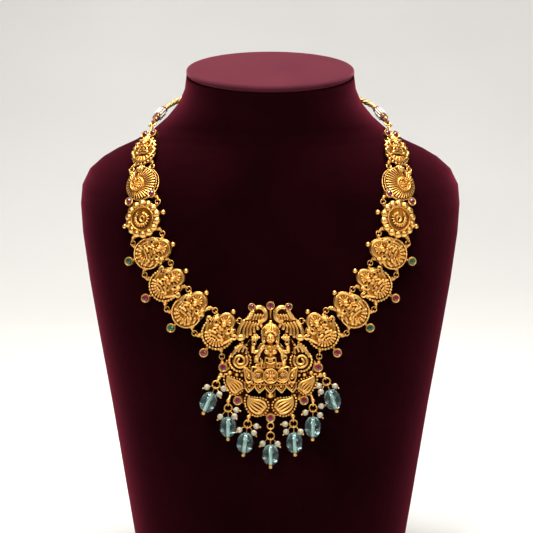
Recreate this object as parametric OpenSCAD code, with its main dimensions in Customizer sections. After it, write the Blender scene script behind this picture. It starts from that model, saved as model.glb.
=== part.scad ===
// A cast gold necklace on a plain velvet neck bust.
// Millimetres. The bust stands on z = 0, faces -Y and has its middle at x = 0.

/* [Bust] */
// Thickness of the lid on the neck
cap_t = 3.4; // [2.5:0.1:5]
// Forward slope of the neck top in degrees
neck_slope = 11.5; // [6:0.5:14]
// Points round each section of the bust
bust_points = 40; // [24:4:48]

/* [Plaques] */
// Thickness of a plaque's back plate
plate_t = 2.2; // [1.6:0.1:2.8]
// Air between a plaque and the velvet
lie_gap = 0.4; // [0.2:0.1:1]
// Radius of the ball finials
finial_r = 1.15; // [0.9:0.05:1.3]
// Outer radius of a bezel cup
bezel_r = 2.5; // [2.3:0.05:2.6]
// Height of a bezel cup
bezel_h = 3.4; // [3:0.1:4]
// Radius of a bezel stone
stone_r = 1.6; // [1.3:0.05:1.7]

/* [Links] */
// Middle radius of a jump ring between plaques
ring_r = 1.45; // [1.4:0.05:1.5]
// Wire radius of the jump rings and eyelets
wire_r = 0.28; // [0.24:0.01:0.3]
// Middle radius of a soldered eyelet
eye_r = 0.86; // [0.82:0.01:0.9]
// Height of a jump ring's middle above the velvet
ring_lift = 1.9; // [1.8:0.1:2.2]

/* [Drops] */
// Middle radius of a drop ring
drop_ring_r = 2.05; // [1.9:0.05:2.2]
// Wire radius of a drop ring
drop_wire_r = 0.34; // [0.3:0.01:0.36]
// Largest radius of a glass bead
bead_r = 4.5; // [4.2:0.1:4.6]
// Length of a glass bead
bead_l = 11.2; // [10.5:0.1:11.5]
// Radius of a pearl
pearl_r = 1.65; // [1.5:0.05:1.7]
// Middle radius of the drops' pin loops
loop_r = 0.8; // [0.78:0.01:0.84]
// Wire radius of the main pins
pin_r = 0.28; // [0.24:0.01:0.3]
// Wire radius of the pearl pins
pearl_pin_r = 0.17; // [0.15:0.01:0.2]

/* [Back cord] */
// Radius of the twisted cord
cord_r = 1.6; // [1.4:0.1:1.8]
// Radius of a pearl wrap
wrap_r = 2.9; // [2.6:0.1:3]
// Radius of a thread binding
binding_r = 2.1; // [2:0.1:2.3]

/* [Hidden] */
$fn = 32;

GOLD = "goldenrod";
VELVET = [0.25, 0.03, 0.09];

// Bust sections. Columns: height, half width, depth in front, depth behind, roundness
SECTIONS = [
    [0, 77.5, 86, 40, 2.8],
    [50, 85.5, 81.5, 41, 2.8],
    [100, 93.5, 76, 42, 2.7],
    [143, 101, 69.5, 43, 2.6],
    [170, 105.6, 65, 44, 2.5],
    [198, 109.4, 60, 45, 2.35],
    [214, 110.5, 56.5, 45, 2.15],
    [225, 109.5, 54, 45, 1.95],
    [234, 105, 51.5, 44.5, 1.75],
    [241, 97, 49.5, 44, 1.6],
    [246, 88.5, 48, 43.5, 1.5],
    [251, 77.5, 46.5, 43.5, 1.48],
    [257, 67.5, 45.5, 43, 1.55],
    [264, 59.5, 44.3, 42.5, 1.75],
    [272, 52.8, 43.2, 42, 1.95],
    [280, 49.4, 42.6, 42, 2],
    [287.5, 48.4, 42, 42, 2]
];
// The neck leans forward from this height up
lean_from = 262;
neck_top = 287.5;

// Places of the left plaques on the bust, from the neck down, then the pendant.
// Columns: x, z, turn, tilt up, roll, radius that has to clear the velvet
SEATS = [
    [-69.4, 244.3, -35, 38, -12, 8.5],
    [-70.4, 228.9, -28, 28, -20, 9.5],
    [-69.4, 210.4, -24, 16, 68, 10.5],
    [-64.3, 193.1, -20, 11, 67, 10.5],
    [-56.8, 176.1, -16, 9, 54.5, 10.5],
    [-43.7, 163.3, -11, 8.5, 44, 10.5],
    [-28.0, 151.5, -6, 8.5, 35, 10.5],
    [0, 136.6, 0, 9, 0, 30]
];
PENDANT = 7;

// Jump rings below each left plaque. Columns: x, z and run in degrees from straight down
// towards the middle, of the inner ring and then of the outer ring. The second gap has one ring
JOINTS = [
    [-65.6, 237.6, 0, -77.2, 235.3, 0],
    [-61.7, 219.9, 0],
    [-59.1, 203.3, 20, -75.4, 197.2, 20],
    [-54.3, 187.7, 25, -68.8, 180.5, 25],
    [-44.6, 173.9, 45, -56.5, 162.6, 35],
    [-30.2, 162.9, 45, -41.3, 150.3, 40],
    [-16.9, 157.4, 80, -26.4, 138.1, 5]
];

function unit(v) = v / norm(v);
function mirrored(p) = [-p.x, p.y, p.z];
function spin(a) = [[cos(a), -sin(a), 0], [sin(a), cos(a), 0], [0, 0, 1]];
function lean(a) = [[1, 0, 0], [0, cos(a), -sin(a)], [0, sin(a), cos(a)]];

// Front face of the bust
function section(z, column) = lookup(z, [for (s = SECTIONS) [s[0], s[column]]]);
function bulge(x, z) =
    let (p = section(z, 4))
    pow(max(0, 1 - pow(min(1, abs(x) / section(z, 1)), p)), 1 / p);
function front_y(x, z) = -section(z, 2) * bulge(x, z);
function face_normal(x, z, h = 6) = unit([
    (front_y(x + h, z) - front_y(x - h, z)) / (2 * h),
    -1,
    (front_y(x, z + h) - front_y(x, z - h)) / (2 * h)
]);

// A seat's axes, its middle on the velvet, and a piece's own point in the world
function axes(s) = spin(s[2]) * lean(90 - s[3]) * spin(-s[4]);
function seat_y(s) = min([
    for (a = [0:30:330], f = [0, 0.5, 1])
        let (w = axes(s) * [f * s[5] * cos(a), f * s[5] * sin(a), 0])
        front_y(s[0] + w.x, s[1] + w.z) - w.y
]) - lie_gap;
function middle(s) = [s[0], seat_y(s), s[1]];
function placed(s, p) = middle(s) + axes(s) * p;
module seated(s) {
    translate(middle(s)) rotate([0, 0, s[2]]) rotate([90 - s[3], 0, 0]) rotate([0, 0, -s[4]])
        children();
}

// Stands a shape that points up along the line from one point to another
module aimed(from, to) {
    run = to - from;
    flat = norm([run.x, run.y]);
    translate(from) rotate([0, atan2(flat, run.z), atan2(run.y, run.x)]) children();
}
module rod(from, to, r) {
    aimed(from, to) cylinder(h = norm(to - from), r = r);
}
module ring(r, wire) {
    rotate_extrude() translate([r, 0]) circle(r = wire, $fn = 16);
}
module arc_wire(r, wire, from, sweep) {
    rotate([0, 0, from]) rotate_extrude(angle = sweep) translate([r, 0]) circle(r = wire, $fn = 16);
}
module ball(p, r) {
    translate(p) sphere(r = r);
}

// A closed shell through rings of points, each ring running the same way
module loft(rings) {
    n = len(rings[0]);
    last = len(rings) - 1;
    polyhedron(
        points = [for (ring = rings) each ring],
        faces = [
            [for (i = [0:n - 1]) i],
            for (k = [0:last - 1], i = [0:n - 1])
                let (a = k * n + i, b = k * n + (i + 1) % n)
                each [[a, a + n, b + n], [a, b + n, b]],
            [for (i = [n - 1:-1:0]) last * n + i]
        ]
    );
}

// Points round one bust section, with the forward slope that grows up the neck
function slope_at(z) = tan(neck_slope) * max(0, min(1, (z - lean_from) / (neck_top - lean_from)));
function signed_pow(v, p) = sign(v) * pow(abs(v), p);
function section_ring(z, inset = 0, rise = 0) = [
    for (i = [0:bust_points - 1])
        let (
            a = 360 * i / bust_points,
            p = 2 / section(z, 4),
            depth = sin(a) > 0 ? section(z, 3) : section(z, 2),
            x = (section(z, 1) - inset) * signed_pow(cos(a), p),
            y = (depth - inset) * signed_pow(sin(a), p)
        )
        [x, y, z + rise + y * slope_at(z)]
];

module bust() {
    color(VELVET) loft([
        section_ring(0, inset = 2.5),
        section_ring(0, rise = 3),
        for (k = [1:len(SECTIONS) - 1]) section_ring(SECTIONS[k][0]),
        section_ring(neck_top, inset = 1.6, rise = 0.8)
    ]);
}

module neck_cap() {
    seam = 1.1;
    color(VELVET) loft([
        section_ring(neck_top, inset = 1.2, rise = seam),
        section_ring(neck_top, inset = 0, rise = seam + 0.8),
        section_ring(neck_top, inset = 0, rise = seam + cap_t * 0.6),
        section_ring(neck_top, inset = 0.9, rise = seam + cap_t * 0.9),
        section_ring(neck_top, inset = 3, rise = seam + cap_t),
        section_ring(neck_top, inset = 22, rise = seam + cap_t + 0.7)
    ]);
}

// Bezel cups, which stand on a piece's back face, and the seats cut into them for the stones.
// A cup's place may name its size, as a share of the usual one
stone_seat = 1;
function cup_size(p) = len(p) > 2 ? p[2] : 1;
module bezel(p) {
    r = bezel_r * cup_size(p);
    translate([p.x, p.y, 0]) {
        cylinder(h = bezel_h - 0.4, r = r - 0.3);
        translate([0, 0, bezel_h - 1.1]) cylinder(h = 1.1, r = r);
    }
}
module stone_seats(places) {
    for (p = places) translate([p.x, p.y, bezel_h - stone_seat])
        cylinder(h = stone_seat + 3, r = stone_r * cup_size(p) + 0.1);
}
// A round stone with a girdle, eight crown facets and a table
module stone(p) {
    r = stone_r * cup_size(p);
    translate([p.x, p.y, bezel_h - stone_seat + 0.08]) {
        cylinder(h = 0.75, r = r, $fn = 8);
        translate([0, 0, 0.75]) cylinder(h = 0.75, r1 = r, r2 = r * 0.5, $fn = 8);
    }
}

// Jump rings and the soldered eyelets that they pass through
function joint_middle(j, outer) =
    let (c = outer ? 3 : 0, x = JOINTS[j][c], z = JOINTS[j][c + 1])
    [x, front_y(x, z), z] + ring_lift * face_normal(x, z);
function joint_sides(j) = len(JOINTS[j]) > 3 ? [false, true] : [false];
function joint_out(j, outer) =
    let (m = joint_middle(j, outer)) face_normal(m.x, m.z);
function joint_run(j, outer) =
    let (
        a = JOINTS[j][outer ? 5 : 2],
        down = [sin(a), 0, -cos(a)],
        out = joint_out(j, outer)
    )
    unit(down - out * (down * out));
// Turns a shape so that its X is the run, its Z the way out of the bust
module framed(m, run, out) {
    side = cross(out, run);
    multmatrix([
        [run.x, side.x, out.x, m.x],
        [run.y, side.y, out.y, m.y],
        [run.z, side.z, out.z, m.z]
    ]) children();
}
module jump_ring(j, outer) {
    framed(joint_middle(j, outer), joint_run(j, outer), joint_out(j, outer)) ring(ring_r, wire_r);
}
module eyelet(j, outer, below, anchor) {
    run = joint_run(j, outer) * (below ? 1 : -1);
    eye = joint_middle(j, outer) + run * ring_r;
    framed(eye, run, joint_out(j, outer)) rotate([90, 0, 0]) ring(eye_r, wire_r);
    rod(eye + run * eye_r, anchor, 0.42);
}
module link_rings() {
    color(GOLD) for (j = [0:6], outer = joint_sides(j)) jump_ring(j, outer);
}

// Cast relief, drawn on a piece whose back lies on z = 0. Low shapes lie half sunk in a flat face
module bar(points, z, r) {
    for (i = [0:len(points) - 2])
        rod([points[i].x, points[i].y, z], [points[i + 1].x, points[i + 1].y, z], r);
    for (p = points) ball([p.x, p.y, z], r * 1.06);
}
module rib(from, to, z, r) {
    rod([from.x, from.y, z], [to.x, to.y, z], r);
}
// A flat shape raised to a height, which starts inside its back plate
module on_plate(h) {
    start = 0.7;
    translate([0, 0, start]) linear_extrude(h - start) children();
}
module teardrop(r, tip, h) {
    side = unit([-tip.y, tip.x]) * r * 0.95;
    on_plate(h) {
        circle(r = r);
        polygon([-side, tip, side]);
    }
}
module finial(y, z = 1.5) {
    bar([[0, y - sign(y) * 3.5], [0, y - sign(y) * 1]], z, 0.5);
    ball([0, y, z], finial_r);
}
// Round grains on the flat of a rim, and the scallops under them in the rim's outline
function rim_places(r, from, to, count) =
    [for (i = [0:count - 1]) let (a = from + (to - from) * i / (count - 1)) r * [cos(a), sin(a)]];
module grains(places, size, z) {
    for (p = places) ball([p.x, p.y, z], size);
}
module scallops(places, size) {
    for (p = places) translate(p) circle(r = size);
}
module piercings(places, r = 0.55) {
    for (p = places) translate([p.x, p.y, -1]) cylinder(h = 12, r = r);
}
module stem(y, to) {
    bar([[0, y], [0, to]], 1.3, 0.8);
}

// Places of the plaques' cups, each in its plaque's own place
ROUND_CUP = [0, -14.1];
OVAL_CUP = [0, -14.8];
SHELL_CUPS = [[-8.7, -9], [5.6, -8.2]];
ARCH_CUPS = [[-3.1, 12.5], [2.1, 12.8]];

// A small seated figure with raised hands, its knees and the lotus petals under it
module small_figure(z) {
    ball([0, 5.6, z + 0.7], 1.9);
    ball([0, 7.8, z], 1.3);
    ball([0, 9.3, z], 0.8);
    ball([0, 2.2, z], 1.9);
    ball([0, -0.4, z], 1.5);
    for (s = [-1, 1]) {
        bar([[s * 1.9, 2.9], [s * 4.3, 1], [s * 5.3, 3.6]], z, 0.55);
        ball([s * 5.4, 4, z], 0.95);
        bar([[s * 4.3, -2.5], [s * -0.8, -3.3]], z, 0.85);
        ball([s * 4.4, -2.5, z], 1.25);
    }
    for (a = [-60:30:60])
        bar([[5.2 * sin(a), -1.3 - 4.6 * cos(a)], [7 * sin(a), -1.3 - 6 * cos(a)]], z, 0.75);
}
FIGURE_HOLES = [for (s = [-1, 1]) each [[s * 3.5, 3.5], [s * 2.6, -0.6], [s * 6.3, 0.1]]];

// Round plaque with a grained rim, scroll arms and a halo
module round_plaque() {
    grain = 0.84;
    low = [0, -1.2];
    rim = [for (p = rim_places(8.4, 170, 370, 18)) p + low];
    dais = plate_t + 0.9;
    difference() {
        union() {
            linear_extrude(plate_t) {
                translate(low) circle(r = 8.5);
                scallops(rim, grain + 0.06);
                translate([0, 7.4]) circle(r = 4.7);
                for (s = [-1, 1]) {
                    translate([s * 7.9, 2.6]) circle(r = 1.5);
                    translate([s * 5.6, 5]) circle(r = 1.9);
                }
            }
            linear_extrude(dais) {
                translate(low) circle(r = 7.1);
                translate([0, 7.4]) circle(r = 4.2);
            }
            grains(rim, grain, plate_t);
            translate([0, 7.4, dais]) ring(4, 0.55);
            for (s = [-1, 1]) translate([s * 7.9, 2.6, plate_t]) ring(0.95, 0.5);
            small_figure(dais);
            finial(13.5);
            bezel(ROUND_CUP);
            stem(-12.4, -8);
        }
        piercings(FIGURE_HOLES);
        stone_seats([ROUND_CUP]);
    }
}
// Oval plaque with a fine rope rim, leaves and a halo
module oval_plaque() {
    grain = 0.56;
    low = [0, -2.6];
    rim = [for (p = rim_places(8.3, 172, 368, 23)) p + low];
    dais = plate_t + 0.9;
    difference() {
        union() {
            linear_extrude(plate_t) {
                for (y = [-2.6, -1, 0.6]) translate([0, y]) circle(r = 8.2);
                translate([0, 6.2]) circle(r = 5.4);
                scallops(rim, grain + 0.08);
            }
            linear_extrude(dais) {
                for (y = [-2, 0]) translate([0, y]) circle(r = 6.9);
                translate([0, 6.4]) circle(r = 4.8);
            }
            grains(rim, grain, plate_t);
            for (s = [-1, 1], y = [0.2, 2.4, 4.6])
                bar([[s * (8.5 - 0.34 * y), y], [s * (7.4 - 0.4 * y), y - 1.8]], plate_t, 0.62);
            translate([0, 6.6, dais]) ring(4.5, 0.55);
            small_figure(dais);
            finial(12.7);
            bezel(OVAL_CUP);
            stem(-13.2, -9);
        }
        piercings(FIGURE_HOLES);
        stone_seats([OVAL_CUP]);
    }
}
// Coil plaque: a raised ring round a curled neck, among fourteen round petals
module coil_plaque() {
    petals = 14;
    tips = rim_places(8.6, 360 / petals / 2, 360 - 360 / petals / 2, petals);
    crown = plate_t + 1.4;
    difference() {
        union() {
            linear_extrude(plate_t) {
                circle(r = 8.6);
                scallops(tips, 1.75);
            }
            cylinder(h = crown, r = 7.3);
            grains(tips, 1.7, plate_t);
            for (p = tips) rib(p * 0.7, p * 0.92, plate_t, 1.2);
            translate([0, 0, crown]) ring(6.1, 0.7);
            translate([0, 0, crown]) arc_wire(3.4, 1.1, -150, 250);
            for (a = [-150, 100]) ball([3.4 * cos(a), 3.4 * sin(a), crown], 1.2);
            for (s = [-1, 1]) finial(s * 12.3);
        }
        piercings([[0, 0]], 1);
    }
}
// Shell plaque: a ribbed fan under a hinge knob, with a ringed medal on it
module shell_plaque() {
    medal = [-2.4, 0.6];
    difference() {
        union() {
            linear_extrude(plate_t) {
                translate([-0.6, -0.2]) circle(r = 9.6);
                translate([0, 7.6]) circle(r = 3.4);
            }
            translate([-0.6, -0.2, 0]) cylinder(h = plate_t + 0.8, r = 8.7);
            for (a = [-140:17.5:140])
                rod([medal.x + 4 * sin(a), medal.y - 4 * cos(a), 4.1],
                    [9.1 * sin(a) - 0.6, -0.2 - 9.1 * cos(a), 2.4], 0.62);
            translate([medal.x, medal.y, 0]) cylinder(h = 4.6, r = 4.2);
            translate([medal.x, medal.y, 4.6]) ring(3.7, 0.42);
            ball([0, 8, plate_t], 2.4);
            for (c = SHELL_CUPS) {
                bezel(c);
                rod([c.x, c.y, 1.2], [c.x * 0.6, c.y * 0.6, 1.2], 0.9);
            }
        }
        piercings([[3, 6.4]], 0.5);
        stone_seats(SHELL_CUPS);
    }
}
// Small figure plaque under a leaf arch, with two cups over it
module arch_plaque() {
    dais = plate_t + 0.8;
    low = [-0.6, -0.4];
    rim = [for (p = rim_places(7.1, 200, 340, 8)) p + low];
    difference() {
        union() {
            linear_extrude(plate_t) {
                translate(low) circle(r = 7.5);
                scallops(rim, 1.05);
                translate([-1, 4.2]) circle(r = 5.8);
                translate([-2.3, 6]) square([3.6, 6]);
            }
            linear_extrude(dais) {
                translate([-0.8, -0.4]) circle(r = 6.2);
                translate([-1, 4.4]) circle(r = 4.6);
            }
            grains(rim, 0.98, plate_t);
            for (s = [-1, 1], k = [0:2])
                bar([[s * (7.2 - k * 1.2) - 0.8, -0.6 + k * 3], [s * (6 - k * 1.3) - 0.8, 1.4 + k * 2.7]],
                    plate_t, 0.8);
            translate([-0.8, 0, 0]) scale(0.78) small_figure(dais / 0.78);
            for (c = ARCH_CUPS) bezel(c);
        }
        stone_seats(ARCH_CUPS);
        piercings([for (s = [-1, 1]) each [[s * 2.7 - 0.8, 2.7], [s * 2 - 0.8, -0.5]]], 0.45);
    }
}

// The points inside a piece that hold its eyelets. On the pendant: wing ball and side cup
PENDANT_HOLDS = [[-13.2, 20.6, 1.4], [-26.2, -3.9, 1.8]];
function anchor(k, outer, upper) =
    let (
        s = SEATS[k],
        out = axes(s) * [0, 0, 1],
        way = joint_middle(upper ? k - 1 : k, outer) - middle(s),
        reach = way - out * (way * out)
    )
    k == PENDANT
        ? placed(s, PENDANT_HOLDS[outer ? 1 : 0])
        : middle(s) + reach * (norm(reach) - 6) / norm(reach) + out * plate_t * 0.5;
module held_eyelets(k, upper) {
    j = upper ? k - 1 : k;
    for (outer = joint_sides(j)) eyelet(j, outer, upper, anchor(k, outer, upper));
}
module left_plaque(k) {
    color(GOLD) {
        seated(SEATS[k]) {
            if (k == 0) arch_plaque();
            if (k == 1) shell_plaque();
            if (k == 2) coil_plaque();
            if (k == 3 || k == 5) oval_plaque();
            if (k == 4 || k == 6) round_plaque();
        }
        held_eyelets(k, false);
        if (k > 0) held_eyelets(k, true);
        if (k == 0) top_eyelet();
    }
}
module right_plaque(k) {
    mirror([1, 0, 0]) left_plaque(k);
}

// Pendant, in its own place: X to the right, Y up, Z out of the velvet
back_t = 1.8;
relief_z = 3.2;
seat_z = 4.2;
HEAD = [0, 14.4];
PAISLEY = [-16.6, -0.4];
SIDE_LEAF = [-17.9, -14.6];
BASE_LEAF = [-6.8, -24.9];
PENDANT_CUPS = [
    [-10.2, 28.9, 0.84], [0, 29.6, 0.94], [9.9, 29, 0.84], [-26, -4.1], [26.1, -4.1],
    [-18, -22.2], [18.3, -22.1], [0, -31.7]
];

// Ribbed crescent and fan of one side's wings
module wings() {
    upper = [-7.2, 25];
    on_plate(relief_z) difference() {
        union() {
            translate(upper) circle(r = 4.6);
            polygon([[-6, 21], [-14.6, 21.6], [-9.5, 28.6]]);
        }
        translate([-2.2, 21.6]) circle(r = 1.6);
    }
    for (k = [0:4])
        rib([-4.2 - 1.6 * k, 27 - 0.6 * k], [-7.2 - 1.5 * k, 23.6 - 0.4 * k], relief_z, 0.62);
    on_plate(relief_z) {
        polygon([[-4, 20.8], [-13.8, 22], [-14.6, 18.4], [-17.6, 15], [-16, 11], [-12, 14], [-6, 17.8]]);
        translate([-16.1, 13.2]) circle(r = 2.1);
    }
    for (k = [0:5])
        rib([-6 - 1.5 * k, 20.3 + 0.05 * k], [-7 - 1.95 * k, 18 - 1.2 * k], relief_z, 0.66);
    ball([-16.1, 13, relief_z], 1.95);
}
// Spiral paisley with its grained rim
module spiral_paisley() {
    rim = [for (p = rim_places(5.25, 102, 386, 17)) p + PAISLEY];
    grains(rim, 0.74, back_t);
    translate(PAISLEY) teardrop(4.4, [2.2, 9.8], relief_z);
    translate([PAISLEY.x, PAISLEY.y, relief_z]) {
        ring(3.1, 0.7);
        ring(1.3, 0.6);
        rib([1.1, 5.2], [1.9, 8.4], 0, 0.62);
    }
}
// Feathered paisley: a drop with side by side ribs and a grained rim
module feathered_leaf(r, tip, count) {
    way = atan2(tip.y, tip.x);
    grains(rim_places(r + 1, way + 48, way + 296, count), 0.6, back_t);
    teardrop(r, tip, relief_z);
    rotate([0, 0, way]) {
        rib([-r * 0.7, 0], [norm(tip) - 2.4, 0], relief_z, 0.66);
        for (s = [-1, 1]) {
            rib([-r * 0.5, s * 1.75], [r * 0.9, s * 1.75], relief_z, 0.62);
            rib([-r * 0.15, s * 3.3], [r * 0.4, s * 3.3], relief_z, 0.5);
        }
    }
}
module limb(from, to, z, r, hand) {
    rod([from.x, from.y, z], [to.x, to.y, z], r);
    ball([to.x, to.y, z], hand);
}
module main_figure() {
    z = seat_z;
    ball([HEAD.x, HEAD.y, z + 1.2], 3.3);
    ball([HEAD.x, HEAD.y + 1.3, z], 4);
    ball([0, 19.3, z - 0.4], 1.7);
    ball([0, 21.3, z - 0.4], 1);
    ball([0, 6, z], 3.7);
    ball([0, 1.3, z], 2.6);
    for (s = [-1, 1]) {
        limb([s * 2.5, 6.9], [s * 9, 4], z, 1.2, 1.45);
        limb([s * 9, 4], [s * 8.7, 9.8], z, 1.05, 1.25);
        translate([s * 8.3, 12.6, 0.7]) cylinder(h = z - 0.7, r = 2);
        for (a = [90, 210, 330])
            ball([s * 8.2 + 1.25 * cos(a), 13.2 + 1.25 * sin(a), z], 0.95);
        limb([s * 2.5, 4.4], [s * 7.3, 0.9], z + 0.3, 0.9, 1.4);
        limb([s * 2.4, -3.3], [s * 7.6, -2.1], z, 1.35, 1.7);
        ball([s * 2.3, -3.3, z], 1.55);
        limb([s * 4.2, 13], [s * 5, 9.4], z, 0.55, 0.85);
    }
}
module lotus_seat() {
    medals = [[0, -8.6, 4.2, 1.3], [-6.6, -8.1, 3.2, 0.6], [6.6, -8.1, 3.2, 0.6]];
    on_plate(seat_z) polygon([[-13.7, -3.9], [13.7, -3.9], [12, -13], [-12, -13]]);
    for (m = medals) translate([m[0], m[1], 0]) {
        on_plate(seat_z + m[3]) circle(r = m[2]);
        translate([0, 0, seat_z + m[3]]) ring(m[2] - 0.45, 0.38);
    }
    for (s = [-1, 1]) translate([s * 11.9, -8.4, 0]) teardrop(2.2, [s * 1.8, 4.6], seat_z + 0.5);
    for (k = [-2:2]) translate([k * 5.4, -13.4 + 0.25 * abs(k), 0]) {
        teardrop(2.45, [k * 0.45, -5], relief_z);
        rib([k * 0.05, -0.4], [k * 0.3, -3.4], relief_z, 0.5);
    }
}
// Drop loops under the pendant. Columns: x, y of the loop, lean of the drop to the right,
// x, y of the point that holds the loop
DROPS = [
    [-28.9, -11.6, -24, -27, -8.4],
    [-23.1, -24.2, 0, -21.8, -19],
    [-12.2, -33, -8, -10.6, -29.2],
    [0, -36, 0, 0, -33],
    [12.4, -32.7, 3, 10.9, -29.2],
    [23.2, -24.2, -1, 22, -19],
    [29.8, -9.8, 19, 27, -8.2]
];
// The middle drop has a ring for its loop, and one more ring that joins the two
MIDDLE = 3;
drop_z = 3.2;
drop_rise = 7;
module pendant_half() {
    wings();
    spiral_paisley();
    translate(SIDE_LEAF) feathered_leaf(4.6, [-7.2, 5.8], 15);
    translate(BASE_LEAF) feathered_leaf(4.7, [-6.6, 6.2], 17);
    for (b = [[-22.2, -7.2, 1.25], [-18.4, -8.1, 1.15], [-15.6, -8.2, 1.05], [-27.1, -8.3, 1.4]])
        ball([b[0], b[1], back_t], b[2]);
}
module pendant_back() {
    linear_extrude(back_t) {
        for (s = [0, 1]) mirror([s, 0]) {
            translate(PAISLEY) circle(r = 6.1);
            translate(SIDE_LEAF) circle(r = 6.4);
            translate(BASE_LEAF) circle(r = 6.4);
            polygon([[-25.6, -7], [-12, -6], [-10, -13], [-22, -14]]);
            polygon([[-22, -19], [-12, -16], [-8, -22], [-14, -25], [-20, -23]]);
            polygon([[-28, -8.3], [-26.4, -9.2], [-22, -9], [-20, -2], [-24, 0], [-26, -5]]);
            polygon([[-13.8, 20], [-13.6, 22.4], [-10, 24.4], [-8, 20]]);
            polygon([[-11, 27], [-12, 30], [-9, 30.6], [-7, 28]]);
            polygon([[-10.6, 3], [-7.4, 14.6], [-9.4, 15.4], [-13.4, 8]]);
            polygon([[-12, -5], [-12, 4], [-6, 6], [-6, -5]]);
        }
        translate([0, 12]) square([9.4, 18], center = true);
        translate([-2.2, 20]) square([4.4, 9]);
        translate([-2.6, -22]) square([5.2, 10]);
        translate([-4, -30.6]) square([8, 9]);
    }
}
module pendant() {
    color(GOLD) {
        seated(SEATS[PENDANT]) difference() {
            union() {
                pendant_back();
                on_plate(seat_z) {
                    translate([0, 14.6]) circle(r = 4.5);
                    polygon([[-5.4, 9], [5.4, 9], [9.6, 4], [8.8, -4], [-8.8, -4], [-9.6, 4]]);
                }
                for (s = [0, 1]) mirror([s, 0, 0]) pendant_half();
                main_figure();
                lotus_seat();
                ball([0, -19.8, back_t], 1.5);
                for (c = PENDANT_CUPS) bezel(c);
                for (k = [0:6]) drop_loop(k);
            }
            stone_seats(PENDANT_CUPS);
            for (p = CLEAR_STONES) translate([p.x, p.y, clear_z]) cylinder(h = 2, r = 0.62);
        }
        for (s = [0, 1]) mirror([s, 0, 0]) held_eyelets(PENDANT, true);
    }
}
CLEAR_STONES = [[-6.6, -7.9], [6.6, -7.9]];
clear_z = seat_z + 0.1;

// Drops: way down, side and out of each drop in the pendant's frame, its loop and its ring
function drop_down(k) =
    let (a = DROPS[k][2]) [sin(a) * cos(drop_rise), -cos(a) * cos(drop_rise), sin(drop_rise)];
function drop_side(k) = let (a = DROPS[k][2]) [cos(a), sin(a), 0];
function drop_out(k) = cross(drop_side(k), -drop_down(k));
function loop_middle(k) = [DROPS[k][0], DROPS[k][1], drop_z];
middle_eye_r = 1.75;
link_r = 1.58;
link_down = 2.53;
function ring_middle(k) =
    loop_middle(k) + drop_down(k) * (k == MIDDLE ? link_down + link_r - 0.74 : 0)
    + drop_down(k) * drop_ring_r;
bead_reach = 10.3;
module drop_loop(k) {
    hold = [DROPS[k][3], DROPS[k][4], 1.8];
    loop = loop_middle(k);
    up = -drop_down(k);
    if (k == MIDDLE) {
        framed(loop, up, drop_out(k)) ring(middle_eye_r, 0.38);
        rod(loop + up * middle_eye_r, hold, 0.6);
    } else {
        framed(loop, up, drop_out(k)) rotate([90, 0, 0]) ring(1, 0.36);
        rod(loop + up, hold, 0.7);
        ball(loop + up * 1.95, 1.15);
    }
}
module drop_ring(k) {
    color(GOLD) seated(SEATS[PENDANT]) {
        framed(ring_middle(k), drop_down(k), drop_out(k)) ring(drop_ring_r, drop_wire_r);
        if (k == MIDDLE)
            framed(loop_middle(k) + drop_down(k) * link_down, drop_down(k), drop_out(k))
                rotate([90, 0, 0]) ring(link_r, 0.3);
    }
}
module drop_pin(k) {
    down = drop_down(k);
    loop = ring_middle(k) + down * drop_ring_r;
    foot = ring_middle(k) + down * (bead_reach + bead_l / 2 + 1);
    color(GOLD) seated(SEATS[PENDANT]) {
        framed(loop, down, drop_out(k)) rotate([90, 0, 0]) ring(loop_r, pin_r);
        rod(loop + down * loop_r, foot, pin_r);
        ball(foot, 1.05);
        for (p = PEARLS) if (p[0] == k) pearl_pin(p);
    }
}
module glass_bead(k) {
    bore = 0.5;
    profile = [for (a = [-84:12:84]) [bead_r * pow(cos(a), 0.85), bead_l / 2 * sin(a)]];
    end = bead_l / 2 * sin(84);
    color([0.45, 0.72, 0.72]) seated(SEATS[PENDANT])
        aimed(ring_middle(k) + drop_down(k) * bead_reach,
            ring_middle(k) + drop_down(k) * (bead_reach + 1))
            rotate_extrude() polygon(concat([[bore, -end]], profile, [[bore, end]]));
}

// Pearls. Columns: drop, then the pearl's place from its ring's middle: right, up, out
PEARLS = [
    [0, -4.9, -1.4, 0.4], [0, 4.1, -2.2, 1], [0, 1.8, -5.3, 2.4],
    [1, -4.3, -4.8, 1.2], [1, 4.5, -1.1, 0.6], [1, 3.5, -4.5, 2.5],
    [2, -4.5, -3.2, 2], [2, 4.8, -1.2, 0.4], [2, 3.4, -4.8, 1.2],
    [3, -4.3, -4.2, 0.6], [3, 3.8, -4.4, 1.1],
    [4, -4.6, -0.3, 0.4], [4, -4, -4.5, 1], [4, 3.9, -4.4, 2.4],
    [5, -4.2, -2.5, 1], [5, 4.5, 1.1, 0.4], [5, 3.8, -3.9, 1],
    [6, -4, -2.4, 1], [6, 4.7, -2.6, 0.8], [6, -3, -5.6, 1.6]
];
pearl_loop_r = 0.64;
pearl_ball_r = 0.5;
function pearl_middle(p) = ring_middle(p[0]) + [p[1], p[2], 0] + drop_out(p[0]) * p[3];
function pearl_loop(p) =
    let (
        spoke = [p[1], p[2], 0],
        out = drop_out(p[0]),
        flat = unit(spoke - out * (spoke * out))
    )
    ring_middle(p[0]) + flat * drop_ring_r;
function pearl_way(p) = unit(pearl_middle(p) - pearl_loop(p));
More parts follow.
